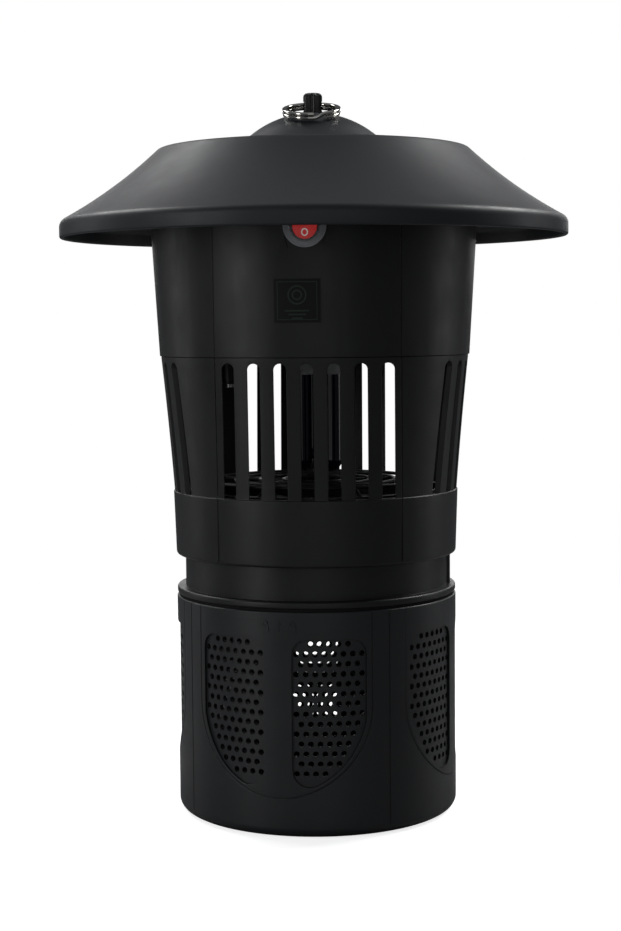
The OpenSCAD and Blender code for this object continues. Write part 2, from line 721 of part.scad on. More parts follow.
// Welded wire guard: four rings on eight spokes that bend down to the shelf
guard_wire = 1;
guard_top_z = 163.5;
guard_low_z = shelf_z + shelf_t + guard_wire;
guard_rings = [16, 28, 40, 52];
guard_out_r = 61.2;
guard_bend_r = 57;
guard_spoke_len = norm([guard_out_r + 1.5 - guard_bend_r, guard_top_z - guard_low_z]);
module fan_guard() {
    fall = atan2(guard_top_z - guard_low_z, guard_out_r + 1.5 - guard_bend_r);
    color(near_black) union() {
        for (r = guard_rings) translate([0, 0, guard_top_z + guard_wire]) rotate_extrude()
            translate([r, 0]) circle(r = guard_wire * 0.9, $fn = 32);
        for (a = [22.5:45:359]) rotate([0, 0, a]) {
            translate([guard_rings[0] - 1.5, 0, guard_top_z]) rotate([0, 90, 0])
                cylinder(r = guard_wire, h = guard_bend_r - guard_rings[0] + 1.5);
            translate([guard_bend_r, 0, guard_top_z]) sphere(r = guard_wire);
            translate([guard_bend_r, 0, guard_top_z]) rotate([0, 90 + fall, 0])
                cylinder(r = guard_wire, h = guard_spoke_len);
        }
        difference() {
            ring_tube(guard_out_r + 3.6, guard_out_r + 0.4, shelf_z + shelf_t, shelf_z + shelf_t + 1.6);
            at_each(quarter, duct_screw_at) rod(2.8, shelf_z, shelf_z + 6);
            translate([lead_drop[0], lead_drop[1], 0]) rod(2.4, shelf_z, shelf_z + 6);
        }
    }
}

mount_top_z = 122;
mount_floor_z = 115;
motor_r = 16;
motor_low_z = mount_floor_z;
motor_top_z = 137;
motor_screw_at = 8;
module motor_mount() {
    color(near_black) difference() {
        union() {
            ring_tube(duct_in_r - 0.2, mount_seat_r - 1, mount_seat_z, mount_seat_z + 5);
            rod(motor_r + 2.2, mount_seat_z, mount_top_z);
            for (a = [90, 210, 330]) rotate([0, 0, a])
                translate([motor_r, -2.5, mount_seat_z]) cube([mount_seat_r - motor_r, 5, 4]);
        }
        rod(motor_r + 0.15, mount_floor_z, mount_top_z + 1);
        at_each([30, 210], motor_screw_at) rod(m25_hole_r, mount_seat_z - 1, mount_floor_z + 1);
    }
}
module motor_screws() {
    color(chrome) at_each([30, 210], motor_screw_at) screw(m25_r, 6, mount_seat_z);
}
shaft_r = 1.5;
shaft_gap = 0.05;
module fan_motor() {
    nose_z = motor_top_z + 2;
    color([0.62, 0.63, 0.64]) difference() {
        union() {
            rotate_extrude() polygon(concat([[0, motor_low_z], [motor_r, motor_low_z]],
                arc([motor_r - 2, motor_top_z - 2], 2, 0, 90, 5), [[0, motor_top_z]]));
            rod(4.5, motor_top_z - 1, nose_z);
        }
        rod(shaft_r + shaft_gap, motor_low_z + 8, nose_z + 1);
        at_each([30, 210], motor_screw_at) rod(m25_hole_r, motor_low_z - 1, motor_low_z + 4);
    }
}
rotor_low_z = 140.2;
rotor_top_z = 153;
hub_r = 15.5;
module motor_shaft() {
    color(chrome) rod(shaft_r, motor_low_z + 9, rotor_top_z - 3.2);
}
// Each blade is a strip of a cylinder's wall, pitched about the line out from the hub
module fan_rotor() {
    blade_t = 1.6;
    camber_r = 34;
    chord = 25;
    mid_z = (rotor_low_z + rotor_top_z) / 2;
    color([0.17, 0.18, 0.19]) difference() {
        union() {
            rotate_extrude() polygon(concat([[0, rotor_low_z], [hub_r, rotor_low_z]],
                arc([hub_r - 3, rotor_top_z - 3], 3, 0, 90, 5), [[0, rotor_top_z]]));
            for (i = [0:blades - 1]) rotate([0, 0, i * 360 / blades]) intersection() {
                translate([hub_r - 2, 0, mid_z]) rotate([blade_pitch, 0, 0])
                    translate([0, 0, -camber_r]) rotate([0, 90, 0]) difference() {
                        cylinder(r = camber_r + blade_t / 2, h = 60);
                        translate([0, 0, -1]) cylinder(r = camber_r - blade_t / 2, h = 62);
                    }
                translate([0, -chord / 2, rotor_low_z - 1])
                    cube([80, chord, rotor_top_z - rotor_low_z + 2]);
                rod(blade_r, rotor_low_z - 2, rotor_top_z + 2);
            }
        }
        rod(shaft_r + 0.02, rotor_low_z - 1, rotor_top_z - 3);
    }
}

// ---------- basket ----------

lip_h = 2.4;              // inward lip that the lugs catch under
lip_in_r = 65.6;
lip_gap = 15.5;
basket_floor = 2.6;
basket_in_r = basket_r - basket_wall;
motif_az = front_az - basket_turn;
panel_off = 20.4;         // panels lie this far each side of a motif's centre line
panel_half = 17.7;
panel_top_z = 94.9;
panel_corner = 7;
panel_sweep = 43.4;       // the lower edge follows a circle about the motif's centre line
sweep_z = 64.5;
sweep_x = -basket_r * sin(panel_off) - 0.5;
heel_curve = 8;           // tight corner at the foot of the panel
heel_c = [-panel_half + heel_curve,
    sweep_z - sqrt(pow(panel_sweep - heel_curve, 2) - pow(heel_curve - panel_half - sweep_x, 2))];
heel_face = atan2(heel_c[1] - sweep_z, heel_c[0] - sweep_x);
side_face = -acos((panel_half - sweep_x) / panel_sweep);
u_line_r = basket_r * sin(37.2);
u_line_z = 19.3 + u_line_r;

function panel_pts(grow) = concat(
    arc([panel_half - panel_corner, panel_top_z - panel_corner], panel_corner + grow, 0, 90, 6),
    arc([-panel_half + panel_corner, panel_top_z - panel_corner], panel_corner + grow, 90, 180, 6),
    arc(heel_c, heel_curve + grow, 180, 360 + heel_face, 6),
    arc([sweep_x, sweep_z], panel_sweep + grow, heel_face, side_face, 12));

// Stands a flat outline up and faces it outwards along +X, heights kept
module stand_out(depth0, depth1) {
    translate([depth0, 0, 0]) rotate([90, 0, 90]) linear_extrude(depth1 - depth0) children();
}
module panel_frame(i) {
    side = i % 2 == 0 ? 1 : -1;
    rotate([0, 0, motif_az + 90 * floor(i / 2) + side * panel_off])
        mirror([0, side < 0 ? 1 : 0, 0]) children();
}
module u_shape(r) {
    translate([0, u_line_z]) circle(r = r);
    translate([-r, u_line_z]) square([2 * r, basket_h]);
}

module catch_basket() {
    inner_fillet = 3;
    color(basket_black) difference() {
        rotate_extrude() polygon(concat([[0, 0]],
            arc([basket_r - basket_fillet, basket_fillet], basket_fillet, -90, 0, 8),
            [[basket_r, basket_h - 0.5], [basket_r - 0.5, basket_h], [lip_in_r, basket_h],
             [lip_in_r, basket_h - lip_h], [basket_in_r, basket_h - lip_h - 1.5]],
            arc([basket_in_r - inner_fillet, basket_floor + inner_fillet], inner_fillet, 0, -90, 4),
            [[0, basket_floor]]));
        for (a = quarter) rotate([0, 0, a - lip_gap / 2]) rotate_extrude(angle = lip_gap)
            translate([lip_in_r - 1, basket_h - lip_h - 2]) square([basket_in_r - lip_in_r + 1, lip_h + 3]);
        for (i = [0:7]) panel_frame(i) stand_out(50, 80) polygon(panel_pts(0));
        intersection() {
            ring_tube(basket_r + 2, basket_r - line_d, 1, basket_h + 1);
            for (i = [0:3]) rotate([0, 0, motif_az + 90 * i]) stand_out(40, 80) difference() {
                u_shape(u_line_r + line_w);
                u_shape(u_line_r);
            }
        }
        intersection() {
            ring_tube(basket_r + 2, basket_r - line_d, basket_fillet, basket_h + 1);
            at_each([for (i = [0:3]) motif_az + 45 + 90 * i], 40)
                translate([0, -line_w / 2, basket_fillet]) cube([60, line_w, basket_h]);
        }
    }
}

// Perforated panel: fills its window a little below the basket's surface and is held by a
// margin behind the wall
panel_recess = 1.1;
panel_back = 1.1;
panel_margin = 1.6;
panel_gap = 0.08;
rows = 15;
row_z0 = 26.2;
function row_shift(j) = (j % 2) * hole_pitch / 2;
function inside_panel(u, z, keep) =
    abs(u) < panel_half - keep
    && z < panel_top_z - keep
    && norm([u - sweep_x, z - sweep_z]) < panel_sweep - keep + (z > sweep_z ? 99 : 0)
    && !(abs(u) > panel_half - panel_corner && z > panel_top_z - panel_corner
         && norm([abs(u) - panel_half + panel_corner, z - panel_top_z + panel_corner])
            > panel_corner - keep)
    && !(u < heel_c[0] && z < heel_c[1] && norm([u, z] - heel_c) > heel_curve - keep);
module grille(i) {
    face_r = basket_r - panel_recess;
    back_r = basket_in_r - 0.06;
    panel_frame(i) color(basket_black) difference() {
        union() {
            intersection() {
                ring_tube(face_r, back_r - 0.5, 10, 100);
                stand_out(50, 80) polygon(panel_pts(-panel_gap));
            }
            intersection() {
                ring_tube(back_r, back_r - panel_back, 10, 100);
                stand_out(50, 80) polygon(panel_pts(panel_margin));
            }
        }
        for (j = [0:rows - 1], k = [-5:5]) {
            u = k * hole_pitch + row_shift(j);
            z = row_z0 + j * row_pitch;
            if (inside_panel(u, z, hole_d / 2 + 0.5))
                translate([50, u, z]) rotate([0, 90, 0]) cylinder(d = hole_d, h = 30, $fn = 20);
        }
    }
}
module grille_1() { grille(0); }
module grille_2() { grille(1); }
module grille_3() { grille(2); }
module grille_4() { grille(3); }
module grille_5() { grille(4); }
module grille_6() { grille(5); }
module grille_7() { grille(6); }
module grille_8() { grille(7); }

gasket_gap = 0.06;
module basket_gasket() {
    color([0.06, 0.06, 0.06])
        ring_tube(68.6, 65.7, basket_h + gasket_gap, flange_low_z - gasket_gap);
}

roof_canopy();
roof_screws();
hanger_post();
hanger_washer();
hanger_nut();
hanging_ring();
head_shell();
head_floor();
label_plate();
switch_body();
switch_rocker();
switch_boot();
switch_terminals();
switch_leads();
cable_gland();
gland_nut();
driver_board();
driver_transformer();
driver_capacitors();
terminal_block();
board_screws();
lamp_holder();
holder_screws();
lamp_base();
lamp_tubes();
lamp_pins();
lamp_leads();
inlet_cage();
cage_screws();
fan_guard();
duct_screws();
fan_duct();
motor_mount();
motor_screws();
fan_motor();
motor_lead();
motor_shaft();
fan_rotor();
basket_gasket();
catch_basket();
grille_1();
grille_2();
grille_3();
grille_4();
grille_5();
grille_6();
grille_7();
grille_8();
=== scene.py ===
import json
import math

import bpy
from mathutils import Matrix, Vector

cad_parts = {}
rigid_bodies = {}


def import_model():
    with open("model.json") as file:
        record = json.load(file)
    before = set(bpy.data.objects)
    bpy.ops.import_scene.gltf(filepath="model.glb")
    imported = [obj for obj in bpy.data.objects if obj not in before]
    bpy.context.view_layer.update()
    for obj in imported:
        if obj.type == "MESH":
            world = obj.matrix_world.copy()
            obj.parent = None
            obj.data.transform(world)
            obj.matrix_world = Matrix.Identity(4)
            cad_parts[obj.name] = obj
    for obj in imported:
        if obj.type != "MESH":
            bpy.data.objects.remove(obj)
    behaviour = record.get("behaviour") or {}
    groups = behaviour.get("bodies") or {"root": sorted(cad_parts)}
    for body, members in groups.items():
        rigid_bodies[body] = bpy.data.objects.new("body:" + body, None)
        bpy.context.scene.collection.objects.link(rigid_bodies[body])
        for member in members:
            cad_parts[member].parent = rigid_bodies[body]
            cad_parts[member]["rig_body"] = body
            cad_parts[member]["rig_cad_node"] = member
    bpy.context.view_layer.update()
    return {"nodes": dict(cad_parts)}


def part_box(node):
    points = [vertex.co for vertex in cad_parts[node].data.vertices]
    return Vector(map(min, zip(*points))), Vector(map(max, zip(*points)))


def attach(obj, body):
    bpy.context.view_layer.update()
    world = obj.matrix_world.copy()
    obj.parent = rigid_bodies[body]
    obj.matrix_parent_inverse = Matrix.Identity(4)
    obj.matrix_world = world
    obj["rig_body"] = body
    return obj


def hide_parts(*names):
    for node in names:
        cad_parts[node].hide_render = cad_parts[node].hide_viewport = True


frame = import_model()
nodes = frame["nodes"]
mm = 0.001                   # sizes are in millimetres, except for the studio's, in metres


# ---------- studio ----------
# A white table before a white background, lit by softboxes: two high ones behind the trap, a tall
# one at the front left, a thin rim light on each side, a low card behind and weak fills overhead
# and in front. The camera stands a little to the right of the front and looks slightly down.

camera_away = 0.910          # metres from the trap's axis
camera_height = 0.243
camera_side = 2.9            # degrees to the right of the front
camera_down = 4.5            # degrees below the level
camera_pan = 0.16            # degrees to the left of the trap's axis
camera_roll = -0.47          # degrees
camera_lens = 70.25

bpy.context.scene.view_settings.view_transform = "Standard"

lens = bpy.data.cameras.new("camera")
lens.lens = camera_lens
lens.clip_start, lens.clip_end = 20 * mm, 20
camera = bpy.data.objects.new("camera", lens)
bpy.context.scene.collection.objects.link(camera)
bpy.context.scene.camera = camera
side = math.radians(camera_side)
camera.location = (camera_away * math.sin(side), -camera_away * math.cos(side), camera_height)
camera.rotation_euler = (
    Matrix.Rotation(side + math.radians(camera_pan), 3, "Z")
    @ Matrix.Rotation(math.radians(90 - camera_down), 3, "X")
    @ Matrix.Rotation(math.radians(camera_roll), 3, "Z")
).to_euler()


def colour(hex_value, alpha=1.0):
    """An sRGB hex colour as the linear colour that the shaders take."""
    parts = [int(hex_value[i:i + 2], 16) / 255 for i in (1, 3, 5)]
    linear = [p / 12.92 if p <= 0.04045 else ((p + 0.055) / 1.055) ** 2.4 for p in parts]
    return (*linear, alpha)


def add(tree, kind, inputs=None, links=None, **settings):
    """Adds one node to a tree, sets its settings and its unlinked sockets, and links the others."""
    node = tree.nodes.new(kind)
    for key, value in settings.items():
        setattr(node, key, value)
    for socket, value in (inputs or {}).items():
        node.inputs[socket].default_value = value
    for socket, source in (links or {}).items():
        tree.links.new(source, node.inputs[socket])
    return node


def new_material(name):
    """An empty material: its node tree and its surface shader."""
    material = bpy.data.materials.new(name)
    material.use_nodes = True
    return material, material.node_tree, material.node_tree.nodes["Principled BSDF"]


# The background looks white, but lights the trap only faintly
room_light = 0.10
world = bpy.data.worlds.new("white_studio")
bpy.context.scene.world = world
world.use_nodes = True
sky = world.node_tree
seen = add(sky, "ShaderNodeLightPath").outputs["Is Camera Ray"]
dim = add(sky, "ShaderNodeBackground", {"Color": colour("#E6EAF0"), "Strength": room_light})
white = add(sky, "ShaderNodeBackground", {"Color": colour("#FFFFFF"), "Strength": 1.0})
both = add(sky, "ShaderNodeMixShader", links={0: seen, 1: dim.outputs[0], 2: white.outputs[0]})
sky.links.new(both.outputs[0], sky.nodes["World Output"].inputs["Surface"])


def softbox(name, width, height, place, target_height, watts):
    """A flat rectangular white light that faces a point on the trap's axis."""
    light = bpy.data.lights.new(name, "AREA")
    light.shape = "RECTANGLE"
    light.size, light.size_y = width, height
    light.energy = watts
    box = bpy.data.objects.new(name, light)
    bpy.context.scene.collection.objects.link(box)
    box.location = place
    aim = Vector((0, 0, target_height)) - Vector(place)
    box.rotation_euler = aim.to_track_quat("-Z", "Y").to_euler()


softbox("overhead_softbox", 1.2, 0.9, (0, 0.3, 1.45), 0.25, watts=0.8)
softbox("left_top", 0.5, 0.6, (-0.95, 0.7, 1.3), 0.3, watts=8)
softbox("right_top", 0.5, 0.6, (1.0, 0.7, 1.3), 0.3, watts=11)
softbox("left_softbox", 0.35, 1.1, (-1.15, -1.0, 0.5), 0.2, watts=4)
softbox("left_rim", 0.4, 0.9, (-1.45, 0.45, 0.4), 0.2, watts=1.3)
softbox("right_rim", 0.4, 0.9, (1.45, 0.5, 0.4), 0.2, watts=1.3)
softbox("back_card", 1.8, 0.5, (0, 1.7, 0.55), 0.33, watts=5)
softbox("front_fill", 1.2, 1.2, (0.2, -2.0, 0.5), 0.2, watts=1.8)

# The table is white laminate. It glows for the camera alone, so that its edge can fade into the
# white background, and it is a middle grey to the light that it sends back under the trap.
table_radius = 1.3
table_drop = 0.3             # gap in millimetres that keeps the table off the trap's foot
table_glow = 0.78
fade_start, fade_end = 0.28, 0.85
bpy.ops.object.select_all(action="DESELECT")
bpy.ops.mesh.primitive_circle_add(vertices=96, radius=table_radius, fill_type="NGON")
table = bpy.context.object
table.name = "table"
table.location.z = -table_drop * mm
laminate, tree, shader = new_material("white_laminate_table")
seen = add(tree, "ShaderNodeLightPath").outputs["Is Camera Ray"]
tone = add(tree, "ShaderNodeMixRGB", {"Color1": colour("#8C8C8C"), "Color2": colour("#F4F4F4")},
           {"Fac": seen})
tree.links.new(tone.outputs["Color"], shader.inputs["Base Color"])
shader.inputs["Roughness"].default_value = 0.55
shader.inputs["Emission Color"].default_value = colour("#FFFFFF")
glow = add(tree, "ShaderNodeMath", {1: table_glow}, {0: seen}, operation="MULTIPLY")
tree.links.new(glow.outputs["Value"], shader.inputs["Emission Strength"])
place = add(tree, "ShaderNodeTexCoord").outputs["Object"]
away = add(tree, "ShaderNodeVectorMath", links={0: place}, operation="LENGTH")
fade = add(tree, "ShaderNodeMapRange",
           {"From Min": fade_start, "From Max": fade_end, "To Min": 1.0, "To Max": 0.0},
           {"Value": away.outputs["Value"]}, interpolation_type="SMOOTHSTEP")
tree.links.new(fade.outputs["Result"], shader.inputs["Alpha"])
table.data.materials.append(laminate)


# ---------- roof ----------
# The roof is one injection moulding in weatherproof ASA, 2.2 mm thick: a bell in the middle, a
# dished top, a ridge, a hollow skirt and a rolled lip. Four bosses under it take its screws.

roof_low, roof_high = (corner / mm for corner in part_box("roof_canopy"))
roof_wall = 2.2
ridge_radius, ridge_height = 76.5, 328.4
skirt_top_slope, skirt_low_slope, skirt_sweep = 43, 29, 231
skirt_blend = 0.7            # degrees left out at each end of the skirt's hollow
bell_curve, bell_slope = 49.3, 37.5
dish_face, foot_curve, ridge_curve = 91.5, 5, 3.5
stem_hole = 4.1
boss_radius, boss_hole, boss_circle, boss_depth = 4.5, 1.6, 58, 9
boss_sunk = 0.4              # how far a boss ends below the middle of the dish's wall
seat_radius = 9              # of the boss round the post's stem, whose top follows the bell
seat_rim_gap, seat_middle_gap = 0.9, 0.4
head_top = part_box("head_shell")[1].z / mm


def towards(degrees):
    """The unit vector at an angle, in the plane of radius and height."""
    return Vector((math.cos(math.radians(degrees)), math.sin(math.radians(degrees))))


def bow(centre, radius, start, end, steps, hollow=False):
    """Points along an arc, each with the direction that its surface faces."""
    turn = [start + (end - start) * i / steps for i in range(steps + 1)]
    reach = -radius if hollow else radius
    return [(Vector(centre) + reach * towards(angle), angle) for angle in turn]


def roof_line():
    """The roof's outer line from the bell's crown to the lip, with its facing directions."""
    bell = Vector((0, roof_high.z - bell_curve))
    bell_face = 90 - bell_slope
    bell_edge = bell + bell_curve * towards(bell_face)
    dish = towards(dish_face - 90)
    ridge = Vector((ridge_radius, ridge_height))
    flank = towards(-bell_slope)
    span = ridge - bell_edge
    foot = bell_edge + flank * (span.cross(dish) / flank.cross(dish))
    foot_away = foot_curve * math.tan(math.radians((dish_face - bell_face) / 2))
    foot_middle = foot + foot_away * dish + foot_curve * towards(dish_face)
    ridge_away = ridge_curve * math.tan(math.radians((dish_face - 90 + skirt_top_slope) / 2))
    ridge_middle = ridge - ridge_away * dish - ridge_curve * towards(dish_face)
    top_face, low_face = 90 - skirt_top_slope, 90 - skirt_low_slope
    skirt_middle = ridge_middle + (ridge_curve + skirt_sweep) * towards(top_face)
    skirt_end = skirt_middle - skirt_sweep * towards(low_face)
    lip_curve = (roof_high.x - skirt_end.x) / (1 - math.cos(math.radians(low_face)))
    lip_middle = skirt_end - lip_curve * towards(low_face)
    return (bow(bell, bell_curve, 90, bell_face, steps=14)
            + bow(foot_middle, foot_curve, bell_face, dish_face, steps=8, hollow=True)
            + bow(ridge_middle, ridge_curve, dish_face, top_face, steps=10)
            + bow(skirt_middle, skirt_sweep, top_face + skirt_blend, low_face - skirt_blend,
                  steps=20, hollow=True)
            + bow(lip_middle, lip_curve, low_face, 0, steps=16))


def start_point(name):
    """A new object in edit mode that holds a single selected vertex at the origin."""
    bpy.ops.object.select_all(action="DESELECT")
    bpy.ops.mesh.primitive_plane_add(size=mm)
    piece = bpy.context.object
    piece.name = piece.data.name = name
    bpy.ops.object.mode_set(mode="EDIT")
    bpy.ops.mesh.select_mode(type="VERT")
    bpy.ops.mesh.select_all(action="SELECT")
    bpy.ops.mesh.merge(type="CENTER")
    return piece


def trace(points):
    """Moves the selected vertex to the first point and extrudes it along the others."""
    moves = [b - a for a, b in zip([Vector((0, 0, 0))] + points, points)]
    bpy.ops.transform.translate(value=moves[0] * mm)
    for step in moves[1:]:
        bpy.ops.mesh.extrude_region_move(TRANSFORM_OT_translate={"value": step * mm})


def turned(name, outline, sides=180, smooth=35):
    """Spins an outline of (radius, height) points into a closed round body."""
    piece = start_point(name)
    trace([Vector((r, 0, z)) for r, z in outline])
    bpy.ops.mesh.select_all(action="SELECT")
    bpy.ops.mesh.spin(steps=sides, angle=2 * math.pi, center=(0, 0, 0), axis=(0, 0, 1))
    bpy.ops.mesh.select_all(action="SELECT")
    bpy.ops.mesh.remove_doubles(threshold=1e-6)
    bpy.ops.mesh.delete_loose()
    bpy.ops.mesh.select_all(action="SELECT")
    bpy.ops.mesh.normals_make_consistent(inside=False)
    bpy.ops.object.mode_set(mode="OBJECT")
    bpy.ops.object.shade_smooth_by_angle(angle=math.radians(smooth))
    return piece


def finish(piece, material):
    """Gives a piece one material all over."""
    piece.data.materials.clear()
    piece.data.materials.append(material)


def joined(main, others):
    """Joins pieces into the first one."""
    bpy.ops.object.select_all(action="DESELECT")
    for piece in [main, *others]:
        piece.select_set(True)
    bpy.context.view_layer.objects.active = main
    bpy.ops.object.join()
    return main


def pick(piece, wanted):
    """Goes into edit mode with only those faces selected that pass a test."""
    bpy.ops.object.mode_set(mode="EDIT")
    bpy.ops.mesh.select_mode(type="FACE")
    bpy.ops.mesh.select_all(action="DESELECT")
    bpy.ops.object.mode_set(mode="OBJECT")
    for face in piece.data.polygons:
        face.select = wanted(face)
    bpy.ops.object.mode_set(mode="EDIT")


def screw_boss(x, y, low, high):
    """A round boss with a screw hole in its lower end: the end face is inset and pushed in."""
    bpy.ops.object.select_all(action="DESELECT")
    bpy.ops.mesh.primitive_cylinder_add(
        vertices=48, radius=boss_radius * mm, depth=(high - low) * mm,
        location=(x * mm, y * mm, (low + high) / 2 * mm))
    boss = bpy.context.object
    bpy.ops.object.transform_apply(location=True, rotation=True, scale=True)
    pick(boss, lambda face: face.normal.z < -0.9)
    bpy.ops.mesh.inset(thickness=(boss_radius - boss_hole) * mm)
    bpy.ops.mesh.extrude_region_move(TRANSFORM_OT_translate={"value": (0, 0, boss_depth * mm)})
    bpy.ops.object.mode_set(mode="OBJECT")
    bpy.ops.object.shade_smooth_by_angle(angle=math.radians(35))
    return boss


outer_line = roof_line()
outside = [point for point, face in outer_line]
inside = [point - roof_wall * towards(face) for point, face in outer_line]
lip_tip = [point for point, face in bow(
    (roof_high.x - roof_wall / 2, roof_low.z + roof_wall / 2), roof_wall / 2, 0, -180, steps=8)]
crown = [Vector((stem_hole, outside[0].y))]
under_crown = [Vector((stem_hole, inside[0].y))]
outer_skin = [point for point in outside if point.x > stem_hole]
inner_skin = [point for point in inside if point.x > stem_hole]
roof = turned("roof", crown + outer_skin + lip_tip + inner_skin[::-1] + under_crown + crown,
              sides=256)
boss_top = ridge_height - roof_wall / 2 - boss_sunk
bosses = [screw_boss(boss_circle * math.cos(a), boss_circle * math.sin(a), head_top, boss_top)
          for a in (math.radians(45 + 90 * i) for i in range(4))]
seat_top = roof_high.z - roof_wall
bosses.append(turned("stem_seat", [
    (stem_hole, head_top), (seat_radius, head_top), (seat_radius, seat_top - seat_rim_gap),
    (stem_hole, seat_top - seat_middle_gap), (stem_hole, head_top)], sides=64))
joined(roof, bosses)
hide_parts("roof_canopy")
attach(roof, "housing")


def toned(name, light, dark, grain, detail=3.0):
    """A material whose colour drifts between two tones, over patches of about the given size in
    millimetres. Returns the material, its tree, its shader and the object coordinates."""
    material, tree, shader = new_material(name)
    place = add(tree, "ShaderNodeTexCoord").outputs["Object"]
    drift = add(tree, "ShaderNodeTexNoise", {"Scale": 1 / (grain * mm), "Detail": detail},
                {"Vector": place})
    tones = add(tree, "ShaderNodeMixRGB", {"Color1": colour(dark), "Color2": colour(light)},
                {"Fac": drift.outputs["Fac"]})
    tree.links.new(tones.outputs["Color"], shader.inputs["Base Color"])
    return material, tree, shader, place


def finished(name, light, dark, grain, sockets, detail=3.0):
    """A toned material that needs no more than values for its shader's sockets."""
    material, _, shader, _ = toned(name, light, dark, grain, detail)
    for socket, value in sockets.items():
        shader.inputs[socket].default_value = value
    return material


def moulded_plastic(name, light, dark, rough, grain, relief):
    """Moulded plastic: a fine spark-eroded grain from the mould, faint clouds in the colour where
    the melt flowed, and a few softer and glossier patches where it has been handled. The grain
    and its relief are in millimetres."""
    cloud, patch = 36, 50 / 3
    material, tree, shader, place = toned(name, light, dark, cloud)
    patches = add(tree, "ShaderNodeTexNoise",
                  {"Scale": 1 / (patch * mm), "Detail": 5.0, "Roughness": 0.6}, {"Vector": place})
    gloss = add(tree, "ShaderNodeMapRange",
                {"From Min": 0.3, "From Max": 0.7, "To Min": rough - 0.05, "To Max": rough + 0.06},
                {"Value": patches.outputs["Fac"]})
    tree.links.new(gloss.outputs["Result"], shader.inputs["Roughness"])
    pits = add(tree, "ShaderNodeTexNoise", {"Scale": 1 / (grain * mm), "Detail": 2.0},
               {"Vector": place})
    bump = add(tree, "ShaderNodeBump", {"Strength": 0.6, "Distance": relief * mm},
               {"Height": pits.outputs["Fac"]})
    tree.links.new(bump.outputs["Normal"], shader.inputs["Normal"])
    shader.inputs["IOR"].default_value = 1.5
    return material


# ASA with a satin grain: dark blue-grey, with soft wide highlights. The real grain is about
# 0.15 mm; it is drawn at 0.5 mm so that it still shows.
roof_asa = moulded_plastic("moulded_asa_satin", "#2A2D31", "#26292D",
                           rough=0.46, grain=0.5, relief=0.012)
finish(roof, roof_asa)

# Zinc-plated steel screws, washer, nut and shaft: pale grey metal in fine soft clouds
zinc = finished("zinc_plated_steel", "#C9CACB", "#A9ABAD", 1.1,
                {"Metallic": 1.0, "Roughness": 0.32})
for name in ("roof_screws", "hanger_washer", "hanger_nut", "board_screws", "holder_screws",
             "cage_screws", "duct_screws", "motor_screws", "motor_shaft"):
    finish(nodes[name], zinc)


# ---------- hanger post ----------
# A black post turned from steel and painted, with fine upright flutes, a rounded top and a cross
# hole for the ring. Its thinner stem runs down through the roof and the head to a nut.

post_low, post_high = (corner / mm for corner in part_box("hanger_post"))
post_radius = post_high.x
flutes = 36
flute_depth = 0.22
stem_radius = 4.0
cross_hole = 2.5
cross_height = 349.6
crown_round = 1.8
crown_steps = 6
post_sunk = 0.1              # how far the post stands in the bell's crown
stem_chamfer = 0.6
drill_length = 20

post_foot = roof_high.z - post_sunk
post_shoulder = post_high.z - crown_round
bpy.ops.object.select_all(action="DESELECT")
bpy.ops.mesh.primitive_cylinder_add(
    vertices=2 * flutes, radius=post_radius * mm, depth=(post_shoulder - post_foot) * mm,
    location=(0, 0, (post_shoulder + post_foot) / 2 * mm))
post = bpy.context.object
post.name = post.data.name = "fluted_post"
bpy.ops.object.transform_apply(location=True, rotation=True, scale=True)
for vertex in post.data.vertices:
    # every second corner is drawn in, which leaves a flute there
    corner = round(math.degrees(math.atan2(vertex.co.y, vertex.co.x)) * flutes / 180)
    if corner % 2:
        vertex.co.xy *= (post_radius - flute_depth) / post_radius
pick(post, lambda face: face.normal.z > 0.9)
for i in range(crown_steps):
    before, now = (math.radians(90 * k / crown_steps) for k in (i, i + 1))
    shrink = ((post_radius - crown_round + crown_round * math.cos(now))
              / (post_radius - crown_round + crown_round * math.cos(before)))
    rise = crown_round * (math.sin(now) - math.sin(before)) * mm
    bpy.ops.mesh.extrude_region_move(TRANSFORM_OT_translate={"value": (0, 0, rise)})
    bpy.ops.transform.resize(value=(shrink, shrink, 1))
bpy.ops.object.mode_set(mode="OBJECT")
pick(post, lambda face: face.normal.z < -0.9)
bpy.ops.mesh.inset(thickness=(post_radius - stem_radius) * mm)
bpy.ops.mesh.extrude_region_move(
    TRANSFORM_OT_translate={"value": (0, 0, (post_low.z + stem_chamfer - post_foot) * mm)})
bpy.ops.mesh.extrude_region_move(TRANSFORM_OT_translate={"value": (0, 0, -stem_chamfer * mm)})
shrink = (stem_radius - stem_chamfer) / stem_radius
bpy.ops.transform.resize(value=(shrink, shrink, 1))
bpy.ops.object.mode_set(mode="OBJECT")

bpy.ops.object.select_all(action="DESELECT")
bpy.ops.mesh.primitive_cylinder_add(
    vertices=48, radius=cross_hole * mm, depth=drill_length * mm,
    location=(0, 0, cross_height * mm), rotation=(0, math.pi / 2, 0))
drill = bpy.context.object


def cut(piece, tool, smooth=25):
    """Cuts a tool's shape out of a piece and removes the tool."""
    bpy.ops.object.select_all(action="DESELECT")
    bpy.context.view_layer.objects.active = piece
    piece.select_set(True)
    hole = piece.modifiers.new("cut", "BOOLEAN")
    hole.operation, hole.object, hole.solver = "DIFFERENCE", tool, "EXACT"
    bpy.ops.object.modifier_apply(modifier=hole.name)
    bpy.data.objects.remove(tool)
    bpy.ops.object.shade_smooth_by_angle(angle=math.radians(smooth))


cut(post, drill)
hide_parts("hanger_post")
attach(post, "housing")

# Black paint baked on steel: almost black, a little glossy, worn faintly grey in the clouds
paint = finished("black_stove_enamel_on_steel", "#1B1C1F", "#0B0B0D", 1.4,
                 {"Roughness": 0.36}, detail=6.0)
finish(post, paint)


# ---------- hanging ring ----------
# A nickel-plated split ring of spring steel: flat wire wound in two turns that lie on each
# other. It passes through the post's hole and has fallen forward onto the bell.

